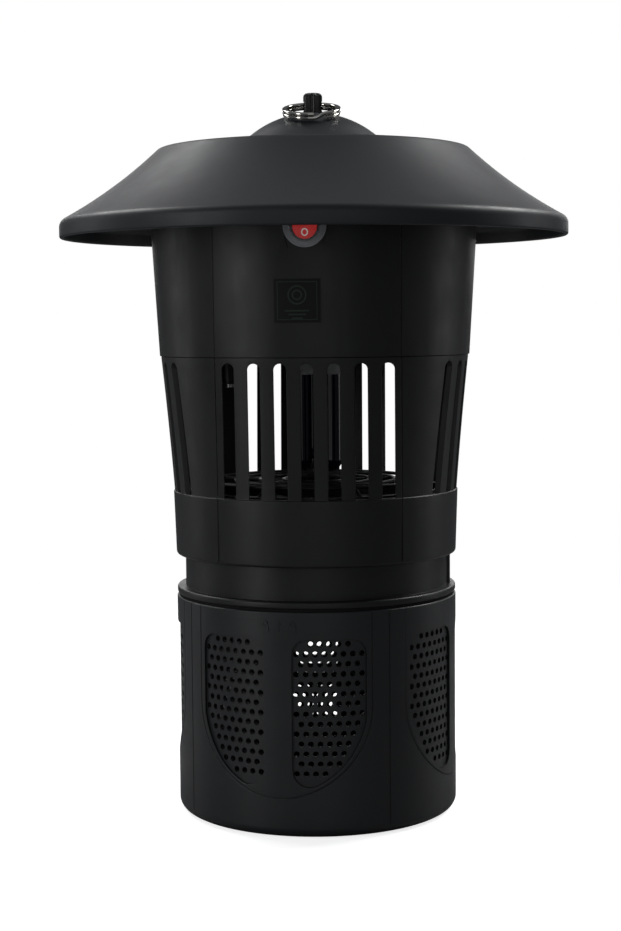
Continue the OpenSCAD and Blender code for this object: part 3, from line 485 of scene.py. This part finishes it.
ring_radius = 13.2
ring_droop = 17              # degrees that the front hangs below the level
ring_rest = 0.43             # the wire's middle lies this far behind the middle of the post
wire_half_width, wire_half_height = 1.25, 0.88
wire_roundness = 0.62        # 1 makes the wire's section an oval, and 0 a rectangle
turn_height = 0.92           # each turn's middle lies this far from the ring's middle
jog = 26                     # degrees over which the wire climbs from one turn to the other
jog_middle = -70             # direction of that climb, towards the front
wound = 720 - jog            # degrees of wire from one end to the other
ring_steps = 170

bpy.ops.object.select_all(action="DESELECT")
bpy.ops.mesh.primitive_circle_add(
    vertices=20, radius=mm, fill_type="NGON", rotation=(math.pi / 2, 0, 0))
ring = bpy.context.object
ring.name = ring.data.name = "split_ring"
bpy.ops.object.transform_apply(location=True, rotation=True, scale=True)
for vertex in ring.data.vertices:
    # a rounded rectangle, as flat spring wire is
    across, up = vertex.co.x / mm, vertex.co.z / mm
    vertex.co.x = math.copysign(abs(across) ** wire_roundness, across) * wire_half_width * mm
    vertex.co.z = math.copysign(abs(up) ** wire_roundness, up) * wire_half_height * mm
bpy.ops.object.mode_set(mode="EDIT")
bpy.ops.mesh.select_all(action="SELECT")
bpy.ops.transform.translate(value=(ring_radius * mm, 0, -turn_height * mm))
wire_start = jog_middle + jog / 2
bpy.ops.transform.rotate(
    value=-math.radians(wire_start), orient_axis="Z", center_override=(0, 0, 0))
for i in range(ring_steps):
    bpy.ops.mesh.extrude_region_move()
    bpy.ops.transform.rotate(
        value=-math.radians(wound / ring_steps), orient_axis="Z", center_override=(0, 0, 0))
    # the share of the jog that lies behind each end of this step, eased at both its ends
    climbed = [min(max((wound * k / ring_steps - (360 - jog)) / jog, 0), 1) for k in (i, i + 1)]
    rise = [share * share * (3 - 2 * share) for share in climbed]
    if rise[1] > rise[0]:
        bpy.ops.transform.translate(value=(0, 0, (rise[1] - rise[0]) * 2 * turn_height * mm))
bpy.ops.mesh.select_all(action="SELECT")
bpy.ops.mesh.normals_make_consistent(inside=False)
bpy.ops.object.mode_set(mode="OBJECT")
ring.data.transform(
    Matrix.Translation((0, 0, cross_height * mm))
    @ Matrix.Rotation(math.radians(ring_droop), 4, "X")
    @ Matrix.Translation((0, -(ring_radius - ring_rest) * mm, 0)))
bpy.ops.object.shade_smooth_by_angle(angle=math.radians(40))
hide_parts("hanging_ring")
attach(ring, "hanging_ring")

# Bright nickel over polished steel: mirror-like, with a little haze along the wire
haze_size = 2
nickel, tree, shader = new_material("polished_nickel_plate")
place = add(tree, "ShaderNodeTexCoord").outputs["Object"]
haze = add(tree, "ShaderNodeTexNoise", {"Scale": 1 / (haze_size * mm), "Detail": 4.0},
           {"Vector": place})
gloss = add(tree, "ShaderNodeMapRange", {"To Min": 0.05, "To Max": 0.16},
            {"Value": haze.outputs["Fac"]})
tree.links.new(gloss.outputs["Result"], shader.inputs["Roughness"])
shader.inputs["Base Color"].default_value = colour("#DAD8D2")
shader.inputs["Metallic"].default_value = 1.0
finish(ring, nickel)


# ---------- head ----------
# The head is a tapering ABS moulding, closed at the top and open below, with the two parting
# lines of its four-part mould each side. It holds the switch, the driver and the lamp holder.

merge_gap = 2e-6             # metres
flat_angle, sharp_angle = math.radians(0.3), math.radians(32)


def softened(node, name, edge, spared=()):
    """A merged copy of a moulded cover with its sharp edges rounded, as they leave the mould.
    Edges near the spared (point, radius) places stay sharp, because another piece covers them."""
    piece = nodes[node].copy()
    piece.data = nodes[node].data.copy()
    piece.name = piece.data.name = name
    piece.parent = None
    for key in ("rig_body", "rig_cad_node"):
        del piece[key]
    bpy.context.scene.collection.objects.link(piece)
    bpy.ops.object.select_all(action="DESELECT")
    piece.select_set(True)
    bpy.context.view_layer.objects.active = piece
    bpy.ops.mesh.customdata_custom_splitnormals_clear()
    bpy.ops.object.mode_set(mode="EDIT")
    bpy.ops.mesh.select_all(action="SELECT")
    bpy.ops.mesh.remove_doubles(threshold=merge_gap)
    bpy.ops.mesh.dissolve_limited(angle_limit=flat_angle)
    bpy.ops.mesh.select_all(action="DESELECT")
    bpy.ops.mesh.select_mode(type="EDGE")
    bpy.ops.mesh.edges_select_sharp(sharpness=sharp_angle)
    bpy.ops.object.mode_set(mode="OBJECT")
    points = piece.data.vertices
    for sharp in piece.data.edges:
        middle = (points[sharp.vertices[0]].co + points[sharp.vertices[1]].co) / 2
        if any((middle - spot).length < reach for spot, reach in spared):
            sharp.select = False
    bpy.ops.object.mode_set(mode="EDIT")
    bpy.ops.mesh.bevel(offset=edge * mm, segments=2, clamp_overlap=False)
    bpy.ops.object.mode_set(mode="OBJECT")
    bpy.ops.object.shade_smooth_by_angle(angle=sharp_angle)
    weighted = piece.modifiers.new("even", "WEIGHTED_NORMAL")
    weighted.keep_sharp = True
    bpy.ops.object.modifier_apply(modifier=weighted.name)
    return piece


switch_low, switch_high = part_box("switch_body")
switch_place = Vector((0, switch_low.y, (switch_low.z + switch_high.z) / 2))
gland_low, gland_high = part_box("cable_gland")
gland_depth = 10             # from the gland's inner end to the middle of the head's wall
gland_place = Vector((0, gland_low.y + gland_depth * mm, (gland_low.z + gland_high.z) / 2))
spared_reach = 13            # round each hole that the switch or the gland covers

# ABS with a finer, glossier grain than the roof: near black, with soft upright highlights
housing_abs = moulded_plastic("moulded_abs_black", "#1A1B1B", "#151616",
                              rough=0.42, grain=0.4, relief=0.008)

head = softened("head_shell", "head", 0.22,
                [(switch_place, spared_reach * mm), (gland_place, spared_reach * mm)])
finish(head, housing_abs)
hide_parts("head_shell")
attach(head, "housing")

# Unpolished inner mouldings of the same plastic: flatter and a little greyer
inner_abs = moulded_plastic("moulded_abs_inner_face", "#1E1F20", "#191A1A",
                            rough=0.55, grain=0.6, relief=0.015)
for name in ("head_floor", "motor_mount", "cable_gland", "gland_nut"):
    finish(nodes[name], inner_abs)


# ---------- label ----------
# A square of black polyester film glued to the front of the head, with a faint green print: a
# plain frame, two rings and three bars, which stand for no maker.

# Polyester film: flat black with hardly any gloss
film = finished("printed_polyester_film", "#0A0C0A", "#040504", 0.8,
                {"Roughness": 0.5, "Specular IOR Level": 0.3})
finish(nodes["label_plate"], film)

label_low, label_high = (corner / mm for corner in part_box("label_plate"))
label_middle = (label_low + label_high) / 2
label_facing = math.atan2(label_middle.y, label_middle.x)
# The head's radius at its foot, how fast it grows upwards, and the foot's height
head_radius_low, head_growth, head_foot = 77.1, 0.0572, 227
film_thickness, ink_thickness = 0.5, 0.04
# The print: places are measured from the label's middle
print_line, frame_line = 0.7, 0.35
frame_width, frame_height = 18.2, 17.4
frame_across, frame_up = 9.1, 8.6
print_rings, rings_up = (4.4, 2.4), 2.6
top_bar_up, top_bar_width, bar_gap, bar_taper = -4.6, 11, 1.7, 3


def ink_bar(x, z, width, height):
    """A flat printed bar, as a fine grid so that it can follow the head's curve."""
    bpy.ops.object.select_all(action="DESELECT")
    bpy.ops.mesh.primitive_grid_add(
        x_subdivisions=max(2, round(width)), y_subdivisions=max(2, round(height)), size=1,
        location=(x, z, 0))
    bar = bpy.context.object
    bar.scale = (width, height, 1)
    bpy.ops.object.transform_apply(location=True, rotation=True, scale=True)
    return bar


def ink_ring(x, z, radius, width):
    """A flat printed ring: a circle extruded inwards."""
    bpy.ops.object.select_all(action="DESELECT")
    bpy.ops.mesh.primitive_circle_add(
        vertices=40, radius=radius, fill_type="NOTHING", location=(x, z, 0))
    loop = bpy.context.object
    bpy.ops.object.transform_apply(location=True, rotation=True, scale=True)
    bpy.ops.object.mode_set(mode="EDIT")
    bpy.ops.mesh.select_all(action="SELECT")
    bpy.ops.mesh.extrude_region_move()
    shrink = (radius - width) / radius
    bpy.ops.transform.resize(value=(shrink, shrink, 1), center_override=(x, z, 0))
    bpy.ops.mesh.select_all(action="SELECT")
    bpy.ops.mesh.normals_make_consistent(inside=False)
    bpy.ops.object.mode_set(mode="OBJECT")
    return loop


prints = [ink_ring(0, rings_up, radius, print_line) for radius in print_rings]
prints += [ink_bar(0, top_bar_up - bar_gap * i, top_bar_width - bar_taper * i, print_line)
           for i in range(3)]
prints += [ink_bar(hand * frame_across, 0, frame_line, frame_height) for hand in (-1, 1)]
prints += [ink_bar(0, hand * frame_up, frame_width, frame_line) for hand in (-1, 1)]
ink = joined(prints[0], prints[1:])
ink.name = ink.data.name = "label_print"
for vertex in ink.data.vertices:
    height = label_middle.z + vertex.co.y
    wall_radius = head_radius_low + head_growth * (height - head_foot)
    radius = wall_radius + film_thickness + ink_thickness / 2
    turn = label_facing + vertex.co.x / radius
    vertex.co = Vector((radius * math.cos(turn), radius * math.sin(turn), height)) * mm
solid = ink.modifiers.new("ink", "SOLIDIFY")
solid.thickness, solid.offset = ink_thickness * mm, 0
bpy.ops.object.modifier_apply(modifier=solid.name)
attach(ink, "housing")

# Screen-printed green ink: thin and dull, so it hardly stands out from the film
green_ink = finished("screen_printed_green_ink", "#12301D", "#0C1F14", 1.1, {"Roughness": 0.5})
finish(ink, green_ink)


# ---------- switch ----------
# A round rocker switch: a glossy nylon body with a rim, a red rocker with moulded-in white
# marks, and a clear silicone boot that keeps rain out. The rocker moves on its own two pins.

# Nylon from a polished mould: black and glossy, with almost no grain
switch_nylon = moulded_plastic("moulded_nylon_gloss", "#16161A", "#101012",
                               rough=0.22, grain=0.8, relief=0.004)
finish(nodes["switch_body"], switch_nylon)

# Brass, thinly tinned: warm metal that shines through a paler coat
tinned = finished("tinned_brass", "#D8C07C", "#B89A55", 1.6, {"Metallic": 1.0, "Roughness": 0.28})
finish(nodes["switch_terminals"], tinned)
finish(nodes["lamp_pins"], tinned)

# Polycarbonate, red right through and glossy. A weak painted glow stands in for the light that
# sinks in and lights it from within
rocker_red_painted_glow = finished("red_polycarbonate_painted_glow", "#DE2A20", "#C41812", 3.3, {
    "Roughness": 0.25, "IOR": 1.58,
    "Emission Color": colour("#C41812"), "Emission Strength": 0.35})
rocker = softened("switch_rocker", "rocker", 0.3)
finish(rocker, rocker_red_painted_glow)
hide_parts("switch_rocker")
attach(rocker, "rocker")

# The marks are moulded in white: a bar on the upper half and a ring on the lower half. They lie
# on the two sloping faces, which meet at the pivot's height.
rim_depth, pivot_set_back = 1.5, 1.4
pivot_height = switch_place.z / mm
pivot_depth = switch_low.y / mm + rim_depth + pivot_set_back
rocker_throw = 8             # degrees that the rocker stands tipped to its off side
# How far the faces stand out at the pivot and at their ends, and how far off the ends are
face_valley, face_end, face_reach = 3.5, 4.6, 7.0
mark_proud, mark_sunk = 0.06, 0.3
bar_width, bar_length, bar_up = 0.62, 2.7, 2.9
zero_radius, zero_line, zero_squash, zero_up = 1.75, 0.55, 0.9, -2.5

bpy.ops.object.select_all(action="DESELECT")
bpy.ops.mesh.primitive_cube_add(size=1, location=(0, bar_up, 0))
bar_mark = bpy.context.object
bar_mark.scale = (bar_width, bar_length, mark_sunk)
bpy.ops.object.transform_apply(location=True, rotation=True, scale=True)

bpy.ops.object.select_all(action="DESELECT")
bpy.ops.mesh.primitive_cylinder_add(
    vertices=40, radius=zero_radius, depth=mark_sunk, location=(0, zero_up, 0))
ring_mark = bpy.context.object
ring_mark.scale = (zero_squash, 1, 1)
bpy.ops.object.transform_apply(location=True, rotation=True, scale=True)
pick(ring_mark, lambda face: abs(face.normal.z) > 0.9)
bpy.ops.mesh.inset(thickness=zero_line)
bpy.ops.mesh.bridge_edge_loops()
bpy.ops.mesh.select_all(action="SELECT")
bpy.ops.mesh.normals_make_consistent(inside=False)
bpy.ops.object.mode_set(mode="OBJECT")

marks = joined(bar_mark, [ring_mark])
marks.name = marks.data.name = "rocker_marks"
slope = (face_end - face_valley) / face_reach
for vertex in marks.data.vertices:
    x, up, out = vertex.co
    proud = mark_proud if out > 0 else -mark_sunk
    vertex.co = Vector((x, -(face_valley + slope * abs(up) + proud), up)) * mm
marks.data.transform(
    Matrix.Translation((0, pivot_depth * mm, pivot_height * mm))
    @ Matrix.Rotation(math.radians(rocker_throw), 4, "X"))
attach(marks, "rocker")

# White inlay moulded into the red: dull, with a weak painted glow, as the red has, that stands in
# for light from within
inlay_painted_glow = finished("white_inlay_painted_glow_material", "#F4F3EE", "#E6E4DD", 1.0, {
    "Roughness": 0.35, "Emission Color": colour("#F4F3EE"), "Emission Strength": 0.25})
finish(marks, inlay_painted_glow)


# ---------- switch boot ----------
# A clear silicone cap with a flat flange, pressed out of the mould in one piece and held by the
# switch's rim. It is soft, so the rocker is worked through it.

# Heights run outwards from the back of the switch's rim
boot_base = 1.52
boot_flange, boot_flange_top, boot_round = 9.95, 2.4, 0.3
boot_dome, boot_top, boot_wall, boot_bend = 7.5, 6.2, 0.7, 2.4
clear_radius, grey_radius = 6.6, 7.3
clear_alpha, grey_alpha = 0.10, 0.5

bend_middle = (boot_dome - boot_bend, boot_top - boot_bend)
boot_outer = bow(bend_middle, boot_bend, 0, 90, steps=10)
boot_inner = bow(bend_middle, boot_bend - boot_wall, 90, 0, steps=8)
boot = turned("boot", (
    [(boot_dome - boot_wall, boot_base), (boot_flange, boot_base),
     (boot_flange, boot_flange_top - boot_round), (boot_flange - boot_round, boot_flange_top),
     (boot_dome + boot_round, boot_flange_top), (boot_dome, boot_flange_top + boot_round)]
    + [tuple(point) for point, face in boot_outer] + [(0, boot_top), (0, boot_top - boot_wall)]
    + [tuple(point) for point, face in boot_inner] + [(boot_dome - boot_wall, boot_base)]),
    sides=72)
boot.data.transform(
    Matrix.Translation((0, switch_low.y + rim_depth * mm, switch_place.z))
    @ Matrix.Rotation(math.pi / 2, 4, "X"))
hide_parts("switch_boot")
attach(boot, "housing")

# Clear silicone: glossy and slightly milky, so the rocker shows through the thin dome, while the
# thick flange and the dome's upright wall look grey
silicone, tree, shader, place = toned("clear_silicone_rubber", "#C9CED2", "#B4BABF", 2.4)
from_axis = add(tree, "ShaderNodeVectorMath", {1: (0, 0, switch_place.z)}, {0: place},
                operation="SUBTRACT")
flat = add(tree, "ShaderNodeVectorMath", {1: (1, 0, 1)}, {0: from_axis.outputs["Vector"]},
           operation="MULTIPLY")
radius = add(tree, "ShaderNodeVectorMath", links={0: flat.outputs["Vector"]}, operation="LENGTH")
edge = add(tree, "ShaderNodeMapRange",
           {"From Min": clear_radius * mm, "From Max": grey_radius * mm,
            "To Min": clear_alpha, "To Max": grey_alpha},
           {"Value": radius.outputs["Value"]})
tree.links.new(edge.outputs["Result"], shader.inputs["Alpha"])
shader.inputs["Roughness"].default_value = 0.14
shader.inputs["IOR"].default_value = 1.43
silicone.surface_render_method = "BLENDED"
finish(boot, silicone)


# ---------- lamp driver ----------
# A small ballast board on four posts of the head floor: a taped transformer, four sleeved
# capacitors and a three-way terminal block, hand-soldered on a green board.

# Solder mask over glass-fibre board: a glossy green with blotches of copper darkening it
mask = finished("green_solder_mask_on_fr4", "#1D6A40", "#124B2C", 2.2, {"Roughness": 0.3},
                detail=4.0)
finish(nodes["driver_board"], mask)

# Yellow polyester tape wound round the bobbin: the turns show as fine ridges 1.2 mm apart
tape, tree, shader, place = toned("polyester_tape_over_winding", "#D6B044", "#B98F2C", 3.0)
turns = add(tree, "ShaderNodeTexWave", {"Scale": 260.0, "Distortion": 0.6}, {"Vector": place},
            bands_direction="Z")
ridges = add(tree, "ShaderNodeBump", {"Strength": 0.5, "Distance": 0.05 * mm},
             {"Height": turns.outputs["Fac"]})
tree.links.new(ridges.outputs["Normal"], shader.inputs["Normal"])
shader.inputs["Roughness"].default_value = 0.3
finish(nodes["driver_transformer"], tape)

# Heat-shrunk PVC sleeve: dark blue and shiny
sleeve = finished("heat_shrunk_pvc_sleeve", "#1C2740", "#131A2C", 2.0, {"Roughness": 0.22})
finish(nodes["driver_capacitors"], sleeve)

# Blue nylon of the terminal block: matt, straight from the mould
blue_nylon = finished("moulded_blue_nylon", "#2A5D9E", "#214C86", 2.0, {"Roughness": 0.45})
finish(nodes["terminal_block"], blue_nylon)


# ---------- leads ----------
# Stranded copper in extruded PVC, laid by hand: red from the switch, white to the lamp and to
# the motor. They are soft and show the slight unevenness of extrusion.

# Extruded PVC: smooth and half matt, in slightly uneven colour
red_pvc = finished("extruded_red_pvc", "#9E2018", "#7E1611", 2.5, {"Roughness": 0.4})
finish(nodes["switch_leads"], red_pvc)
white_pvc = finished("extruded_white_pvc", "#DEDDD6", "#C6C4BB", 2.5, {"Roughness": 0.4})
finish(nodes["lamp_leads"], white_pvc)
finish(nodes["motor_lead"], white_pvc)


# ---------- lamp ----------
# A two-tube ultraviolet lamp, blown and bent from dark filter glass and cemented into a moulded
# PBT base, which pushes up into its holder.

# PBT with a fine grain: light grey and satin
pbt = moulded_plastic("moulded_pbt_light_grey", "#D6D8D8", "#C8CACA",
                      rough=0.42, grain=0.5, relief=0.006)
finish(nodes["lamp_holder"], pbt)
finish(nodes["lamp_base"], pbt)

# Violet-black filter glass: mirror-smooth, so each tube carries one thin bright line
filter_glass = finished("violet_filter_glass", "#1B1330", "#120C22", 9.0,
                        {"Roughness": 0.07, "IOR": 1.52, "Coat Weight": 0.4})
finish(nodes["lamp_tubes"], filter_glass)


# ---------- cage ----------
# One ABS moulding: twenty-eight slots cut straight towards the four sides, seven on each, a plain
# collar, screw towers inside and a spigot that centres it in the head.

cage = softened("inlet_cage", "cage", 0.25)
finish(cage, housing_abs)
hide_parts("inlet_cage")
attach(cage, "housing")


# ---------- fan guard ----------
# Steel wire, spot-welded into four rings on eight spokes, bent down to a flat ring and powder
# coated black. It keeps fingers and large moths off the blades.

# Baked powder coat: satin black, with the fine ripple of orange peel
peel_size = 5 / 7
powder, tree, shader, place = toned("powder_coat_on_steel_wire", "#232427", "#17181A", 1.6)
orange_peel = add(tree, "ShaderNodeTexNoise", {"Scale": 1 / (peel_size * mm), "Detail": 1.0},
                  {"Vector": place})
bump = add(tree, "ShaderNodeBump", {"Strength": 0.5, "Distance": 0.02 * mm},
           {"Height": orange_peel.outputs["Fac"]})
tree.links.new(bump.outputs["Normal"], shader.inputs["Normal"])
shader.inputs["Roughness"].default_value = 0.42
finish(nodes["fan_guard"], powder)


# ---------- fan duct ----------
# The round ABS neck between the collar and the basket, with a flange that closes the basket and
# four lugs inside it. Four screws hold it under the cage's shelf.

duct = softened("fan_duct", "duct", 0.25)
finish(duct, housing_abs)
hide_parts("fan_duct")
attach(duct, "housing")


# ---------- fan and motor ----------
# A small shaded-pole motor in a drawn steel can stands in a three-armed ABS mount. Its shaft
# carries a seven-bladed nylon fan, moulded in one piece.

# Zinc-plated steel, deep drawn: the same pale grey as the screws, in broader and duller clouds
can = finished("zinc_plated_drawn_steel", "#BDBEBF", "#A2A4A6", 2.6,
               {"Metallic": 1.0, "Roughness": 0.34})
finish(nodes["fan_motor"], can)

# Nylon filled with glass fibre: dark grey and matt, since the fibres roughen its surface
fan_nylon = moulded_plastic("moulded_glass_filled_nylon", "#2B2E31", "#222528",
                            rough=0.5, grain=0.7, relief=0.02)
finish(nodes["fan_rotor"], fan_nylon)


# ---------- basket gasket ----------
# A ring of closed-cell foam rubber, punched from sheet and glued under the flange. It is the
# thin dark line between flange and basket.

# Foam rubber: dead matt black, pitted by the cells that the punch has cut open
cell_size = 0.625
foam, tree, shader, place = toned("closed_cell_foam_rubber", "#111111", "#080808", 1.2)
cells = add(tree, "ShaderNodeTexVoronoi", {"Scale": 1 / (cell_size * mm)}, {"Vector": place})
bump = add(tree, "ShaderNodeBump", {"Strength": 0.8, "Distance": 0.1 * mm},
           {"Height": cells.outputs["Distance"]})
tree.links.new(bump.outputs["Normal"], shader.inputs["Normal"])
shader.inputs["Roughness"].default_value = 0.9
finish(nodes["basket_gasket"], foam)


# ---------- basket ----------
# The catch basket is one polypropylene moulding with eight windows, outlined panels between
# them and a plain rim. Its colour is a shade lighter than the housing's.

# Polypropylene with a satin grain: a slightly milky black, as the plastic itself is hazy
basket_pp = moulded_plastic("moulded_polypropylene_satin", "#26282A", "#212325",
                            rough=0.42, grain=0.4, relief=0.008)
basket = softened("catch_basket", "basket", 0.25)
finish(basket, basket_pp)
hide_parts("catch_basket")
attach(basket, "basket")


# ---------- perforated panels ----------
# Eight curved panels full of small round holes, moulded in the same plastic and pressed into
# the basket's windows from inside. Air leaves through them and the catch stays in.

for i in range(8):
    finish(nodes[f"grille_{i + 1}"], basket_pp)


# ---------- lock marks ----------
# Raised marks moulded on the basket's rim beside the front window: an open padlock, an arrow up
# to the flange and a closed padlock. They show which way the basket is turned.

basket_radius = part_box("catch_basket")[1].x / mm
lock_turn = 12.7             # degrees from unlocked to locked
marks_middle = -90 - lock_turn
marks_height = 101.2
mark_relief, mark_root = 0.3, 0.4
open_lock_turn, arrow_turn, closed_lock_turn = -4.7, 0.6, 6.0
open_leg, closed_leg = 0.9, 0.1
shackle_up, shackle_radius, shackle_hollow = 1.35, 1.3, 0.75


def raised_mark(outline, turn):
    """A flat outline of (across, up) points raised from the basket's wall."""
    mark = start_point("lock_mark")
    trace([Vector((across, 0, up)) for across, up in outline + outline[:1]])
    bpy.ops.mesh.select_all(action="SELECT")
    bpy.ops.mesh.remove_doubles(threshold=1e-6)
    bpy.ops.mesh.edge_face_add()
    bpy.ops.mesh.extrude_region_move(
        TRANSFORM_OT_translate={"value": (0, (mark_relief + mark_root) * mm, 0)})
    bpy.ops.mesh.select_all(action="SELECT")
    bpy.ops.mesh.quads_convert_to_tris()
    bpy.ops.object.mode_set(mode="OBJECT")
    for vertex in mark.data.vertices:
        around = math.radians(marks_middle + turn) + vertex.co.x / mm / basket_radius
        reach = basket_radius - mark_root + vertex.co.y / mm
        vertex.co = Vector((reach * math.cos(around), reach * math.sin(around),
                            marks_height + vertex.co.z / mm)) * mm
    bpy.ops.object.mode_set(mode="EDIT")
    bpy.ops.mesh.select_all(action="SELECT")
    bpy.ops.mesh.normals_make_consistent(inside=False)
    bpy.ops.object.mode_set(mode="OBJECT")
    return mark


def shackle(right_leg):
    """A padlock's bow, whose right leg ends at the given height."""
    outer = [tuple(point) for point, face in bow((0, shackle_up), shackle_radius, 180, 0, steps=10)]
    inner = [tuple(point) for point, face in bow((0, shackle_up), shackle_hollow, 0, 180, steps=10)]
    return ([(-shackle_radius, closed_leg)] + outer
            + [(shackle_radius, right_leg), (shackle_hollow, right_leg)]
            + inner + [(-shackle_hollow, closed_leg)])


lock_body = [(-1.8, -2.7), (1.8, -2.7), (1.8, 0.2), (-1.8, 0.2)]
arrow = [(-0.4, -2.6), (0.4, -2.6), (0.4, 0.8), (1.4, 0.8), (0, 2.7), (-1.4, 0.8), (-0.4, 0.8)]
lock_marks = [
    raised_mark(lock_body, open_lock_turn), raised_mark(shackle(open_leg), open_lock_turn),
    raised_mark(arrow, arrow_turn),
    raised_mark(lock_body, closed_lock_turn), raised_mark(shackle(closed_leg), closed_lock_turn)]
lock_print = joined(lock_marks[0], lock_marks[1:])
lock_print.name = lock_print.data.name = "lock_marks"
finish(lock_print, basket_pp)
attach(lock_print, "basket")
